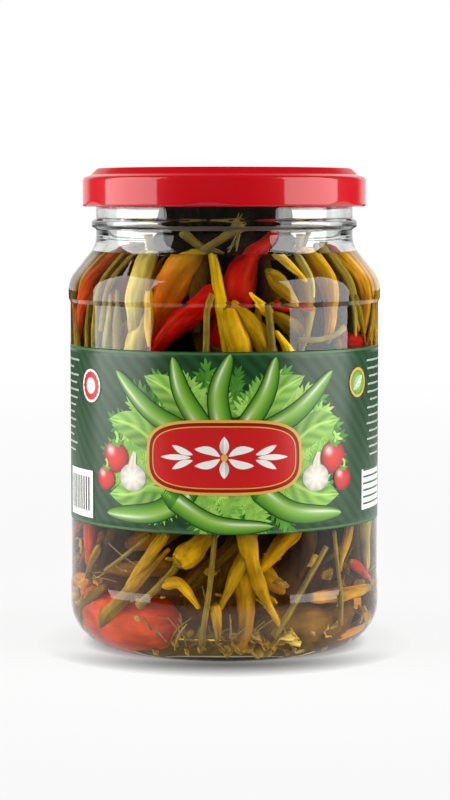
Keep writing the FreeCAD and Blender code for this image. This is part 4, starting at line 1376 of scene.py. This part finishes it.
def draw_panels(art):
    """Plain badges, striped panels and rules in place of fine print, and a thin dark line at the lap at the
    back, painted shade under its edge.
    """
    for across, up, radius, layer, colour, swell, corners in (
        (-46, 15, 4.9, 14, PRINT_WHITE, 0.0, 0),
        (-46, 15, 4.2, 15, PRINT_RED, 0.05, 16),
        (-46, 15, 2.4, 16, PRINT_WHITE, 0.0, 0),
        (46, 16, 4.4, 14, PRINT_GOLD, 0.0, 0),
        (46, 16, 3.6, 15, lambda s, t: blend(LIGHT_LEAF, LEAF, s), 0.0, 0),
    ):
        art.disc(across, up, radius, radius, layer, colour, swell=swell, corners=corners)
    art.leaf(((43.6, 14), (46, 16), (48.4, 18)), 1.5, 16, PRINT_WHITE, LIGHT_LEAF)
    art.band(-62, -45, -24, -10, 17, PRINT_WHITE)
    art.stripes(-60.6, -22, 0.8, 10, (1.6, 0), 9, 18, PRINT_INK)
    art.band(49, 66, -22, -10, 3, PRINT_WHITE)
    art.stripes(50, -20.6, 15, 0.6, (0, 2), 6, 4, DEEP_LEAF)
    art.rules(52, -6, 22, 13, centred=True)
    art.rules(-70, -5, 22, 13)
    art.rules(72, -22, 22, 19)
    art.rules(-90, -22, 22, 19)
    lap = LABEL_HALF_TURN - LAP
    # painted shade: a thin near-black line where the lap's edge lies on the paper
    art.band(lap, lap + 0.2, -LABEL_HALF_HEIGHT, LABEL_HALF_HEIGHT, 2, tinted(GROUND_GREEN, 0.3))


# ---------------------------------------------------------------- the lid
STEEL = 0.25
CURL_WIDTH = 1.45
LUG_AZIMUTH = FIRST_RIDGE + 59.6
LUG_PITCH = 360 / RIDGES
DENT_DEPTH = 0.7
DENT_HEIGHT = 1.5
BUTTON_DROP = 1.8
PANEL_DROP = 1.1
STEP_DROP = 1.9
CREASE_DROP = 2.8


def dent_reach(radius, azimuth, height):
    """The lid's radius with the flat that is pressed into the curl outside each lug."""
    if radius < LID_RADIUS - 1.0 or height > LID_FOOT + DENT_HEIGHT:
        return radius
    off = (azimuth - LUG_AZIMUTH + LUG_PITCH / 2) % LUG_PITCH - LUG_PITCH / 2
    depth = DENT_DEPTH * (1 - (height - LID_FOOT) / DENT_HEIGHT)
    pressed = (LID_RADIUS - depth) / math.cos(math.radians(off))
    return radius - max(0.0, LID_RADIUS - pressed)


def enamel_material(name, coat):
    nodes = Nodes(name)
    shade = nodes.mix(nodes.lumps(60, 3.0), (0.56, 0.0012, 0.006, 1), (0.62, 0.0018, 0.0085, 1))
    fine = nodes.bump(nodes.lumps(900, 2.0), 0.05, 0.00002)
    gloss = {"Roughness": 0.4, "Specular_IOR_Level": 0.1, "Coat_Weight": coat, "Coat_Roughness": 0.065}
    return nodes.principled(shade, Normal=fine, **gloss)


def lacquer_material():
    """The pale lacquer inside the lid."""
    nodes = Nodes("inside_lacquer")
    shade = nodes.mix(nodes.lumps(80, 3.0), (0.30, 0.28, 0.22, 1), (0.36, 0.33, 0.26, 1))
    return nodes.principled(shade, Roughness=0.35, Specular_IOR_Level=0.4)


def make_lid():
    edge = CROWN - CREASE_DROP
    curl = LID_RADIUS - CURL_WIDTH
    inner = LID_RADIUS - STEEL
    top = (
        (0, CROWN - BUTTON_DROP, 0, 0),
        (10.9, CROWN - BUTTON_DROP, 1.5, 1.0),
        (13.0, CROWN - PANEL_DROP, 1.5, 1.0),
        (34.3, CROWN - PANEL_DROP, 0.6, 0.6),
        (35.4, CROWN, 0.7, 0.5),
        (38.2, CROWN, 0.9, 0.6),
        (40.1, CROWN - STEP_DROP, 0.8, 0.8),
    )
    corners = (
        *((radius, height, rounding) for radius, height, rounding, _ in top),
        (LID_RADIUS, edge, 1.3),
        (LID_RADIUS, LID_FOOT + DENT_HEIGHT + 0.5, 0),
        (LID_RADIUS, LID_FOOT, 0.7),
        (curl, LID_FOOT, 0.7),
        (curl, LID_FOOT + 2.0, 0.4),
        (inner, LID_FOOT + 2.6, 0.2),
        (inner, edge - STEEL, 1.0),
        *((radius, height - STEEL, rounding) for radius, height, _, rounding in reversed(top)),
    )
    path = subdivided(list(reversed(rounded(corners))), 0.25, LID_FOOT, LID_FOOT + DENT_HEIGHT + 0.6)
    skirt = next(i for i, point in enumerate(path) if point.y < LID_FOOT + 2.4)
    crown = next(i for i, point in enumerate(path) if i > skirt and point.y > CROWN - STEP_DROP)
    lid = turned("twist_off_lid", path, 360, dent_reach, lambda row: int(row >= skirt) + int(row >= crown))
    enamel = enamel_material("red_enamel", 0.82)
    materials = (lacquer_material(), enamel, enamel_material("worn_enamel_on_top", 0.3))
    finish_piece(lid, materials, "red_enamel", "lid")
    make_lugs(curl, enamel)


LUG_WIDTH = 8.5
LUG_HEIGHT = 1.05
LUG_RISE = 0.12
LUG_BITE = 1.15
INTO_CURL = 0.5


def make_lugs(curl, enamel):
    """The six tabs that the lid's curl is pressed into, each under its ridge of the glass."""
    inner, outer = NECK_RADIUS + RIDGE_DEPTH - LUG_BITE, curl + INTO_CURL
    low = LID_FOOT + LUG_RISE
    high = low + LUG_HEIGHT
    profile = rounded(((outer, low, 0), (inner, low, 0.3), (inner, high, 0.3), (outer, high, 0)), 15)
    vertices, faces = [], []
    for lug in range(RIDGES):
        turn = Matrix.Rotation(math.radians(LUG_AZIMUTH + LUG_PITCH * lug - 90), 3, "Z")
        faces += tube_faces(len(vertices), 2, len(profile))
        for share in (-0.5, 0.5):
            vertices += [turn @ Vector((point.x, share * LUG_WIDTH, point.y)) for point in profile]
    lugs = new_object("lid_lugs", vertices, faces, smooth=False)
    finish_piece(lugs, [enamel], "red_enamel")


# ---------------------------------------------------------------- stage, lamps and camera
CAMERA_DISTANCE = 0.7037
CAMERA_HEIGHT = 0.1326
CAMERA_ASIDE = 0.0002
CAMERA_PITCH = 4.79
CAMERA_LENS = 104.6
SENSOR_WIDTH = 36.0


def make_camera():
    data = bpy.data.cameras.new("camera")
    data.sensor_width = SENSOR_WIDTH
    data.lens = CAMERA_LENS
    camera = in_scene("camera", data)
    camera.location = (CAMERA_ASIDE, -CAMERA_DISTANCE, CAMERA_HEIGHT)
    camera.rotation_euler = (math.radians(90 - CAMERA_PITCH), 0, 0)
    bpy.context.scene.camera = camera


def softbox(name, azimuth, distance, width, height, middle, radiance):
    """A rectangular lamp, placed in metres, that faces the jar from round it."""
    data = bpy.data.lights.new(name, "AREA")
    data.shape = "RECTANGLE"
    data.size = width
    data.size_y = height
    data.energy = radiance * math.pi * width * height
    lamp = in_scene(name, data)
    lamp.location = around(azimuth, distance, middle)
    aim = Vector((0, 0, min(middle, 0.3))) - lamp.location
    lamp.rotation_euler = aim.to_track_quat("-Z", "Y").to_euler()
    return lamp


SIDE_RADIANCE = 4.2
FILL_RADIANCE = 2.2


def make_lamps():
    softbox("softbox_left", -81, 0.62, 0.64, 1.0, 0.30, SIDE_RADIANCE)
    softbox("softbox_right", 74, 0.62, 0.62, 1.0, 0.30, SIDE_RADIANCE)
    fill = softbox("front_fill", -8, 1.1, 0.6, 0.6, 0.45, FILL_RADIANCE)
    fill.visible_glossy = False
    fill.visible_transmission = False


WHITE = (1, 1, 1, 1)
ROOM_WHITE = 0.06
BACKDROP_WHITE = 0.9


def make_world():
    """White behind the jar; mirrored, a white backdrop at the back of a dark room."""
    nodes = Nodes("studio", world=True)
    bpy.context.scene.world = nodes.owner
    path = nodes.add("LightPath").outputs
    back = nodes.add("SeparateXYZ", nodes.add("TexCoord").outputs["Generated"]).outputs["Y"]
    strength = nodes.math("MAXIMUM", nodes.straight(1.5), ROOM_WHITE)
    for kind, near, far in (("Is Glossy Ray", 0.70, 0.88), ("Is Transmission Ray", 0.15, 0.5)):
        share = nodes.math("MULTIPLY", path[kind], nodes.eased(back, near, far, 0.0, BACKDROP_WHITE))
        strength = nodes.math("MAXIMUM", strength, share)
    nodes.surface(nodes.add("Background", WHITE, strength))


FLOOR_ALBEDO = 0.12
FLOOR_LIFT = 0.86
FLOOR_SIZE = 4000
CONTACT_REACH = 0.0145


def make_floor():
    """A white floor that glows evenly farther out, and near the jar takes a little real shadow on a dark
    ground and a soft contact shadow painted into its glow.
    """
    corners = [(x * FLOOR_SIZE, y * FLOOR_SIZE, 0) for x, y in ((-1, -1), (1, -1), (1, 1), (-1, 1))]
    floor = new_object("floor", corners, [(0, 1, 2, 3)], smooth=False)
    nodes = Nodes("pale_floor")
    where = nodes.add("NewGeometry").outputs["Position"]
    distance = nodes.add("VectorMath", where, settings={"operation": "LENGTH"}).outputs["Value"]
    back = nodes.add("SeparateXYZ", where).outputs["Y"]
    # far from the jar: white where it is seen, and darker where it only lights and is mirrored
    far = nodes.eased(distance, 0.2, 1.2, 0.95, 1.0)
    lit = nodes.math(
        "MULTIPLY", nodes.eased(distance, 0.35, 0.9, 0.93, 0.05), nodes.eased(back, -0.22, -0.07, 0.04, 1.0)
    )
    strength = nodes.add("Mix", nodes.straight(0.5))
    nodes.put(strength.inputs[2], lit)
    nodes.put(strength.inputs[3], far)
    glow = nodes.add("Emission", WHITE, strength.outputs[0])
    # near the jar: a share of the same white, less a contact shadow painted in from ambient occlusion,
    # stronger at the front and under the jar, on a dark ground that takes the light
    open_sky = nodes.add("AmbientOcclusion", settings={"samples": 8}, Distance=CONTACT_REACH).outputs["AO"]
    front = nodes.eased(back, -0.044, -0.014, 1.0, 0.12)
    under = nodes.eased(distance, 0.036, 0.047, 0.68, 0.0)
    closed = nodes.math("SUBTRACT", 1.0, nodes.math("POWER", open_sky, 2.0))
    hidden = nodes.math("MULTIPLY", closed, nodes.math("MAXIMUM", front, under))
    left_over = nodes.math("MULTIPLY", nodes.math("SUBTRACT", 1.0, hidden), FLOOR_LIFT)
    lift = nodes.add("Emission", WHITE, left_over)
    ground = nodes.add("BsdfDiffuse", (FLOOR_ALBEDO, FLOOR_ALBEDO, FLOOR_ALBEDO, 1))
    lifted = nodes.add("AddShader", ground.outputs[0], lift.outputs[0])
    near = nodes.eased(distance, 0.05, 0.19, 1.0, 0.0)
    mixed = nodes.add("MixShader", near, glow.outputs[0], lifted.outputs[0])
    floor.data.materials.append(nodes.surface(mixed))


bpy.context.scene.view_settings.view_transform = "Standard"
make_camera()
make_lamps()
make_world()
make_floor()
make_jar()
make_brine()
make_label()
make_lid()
make_contents()
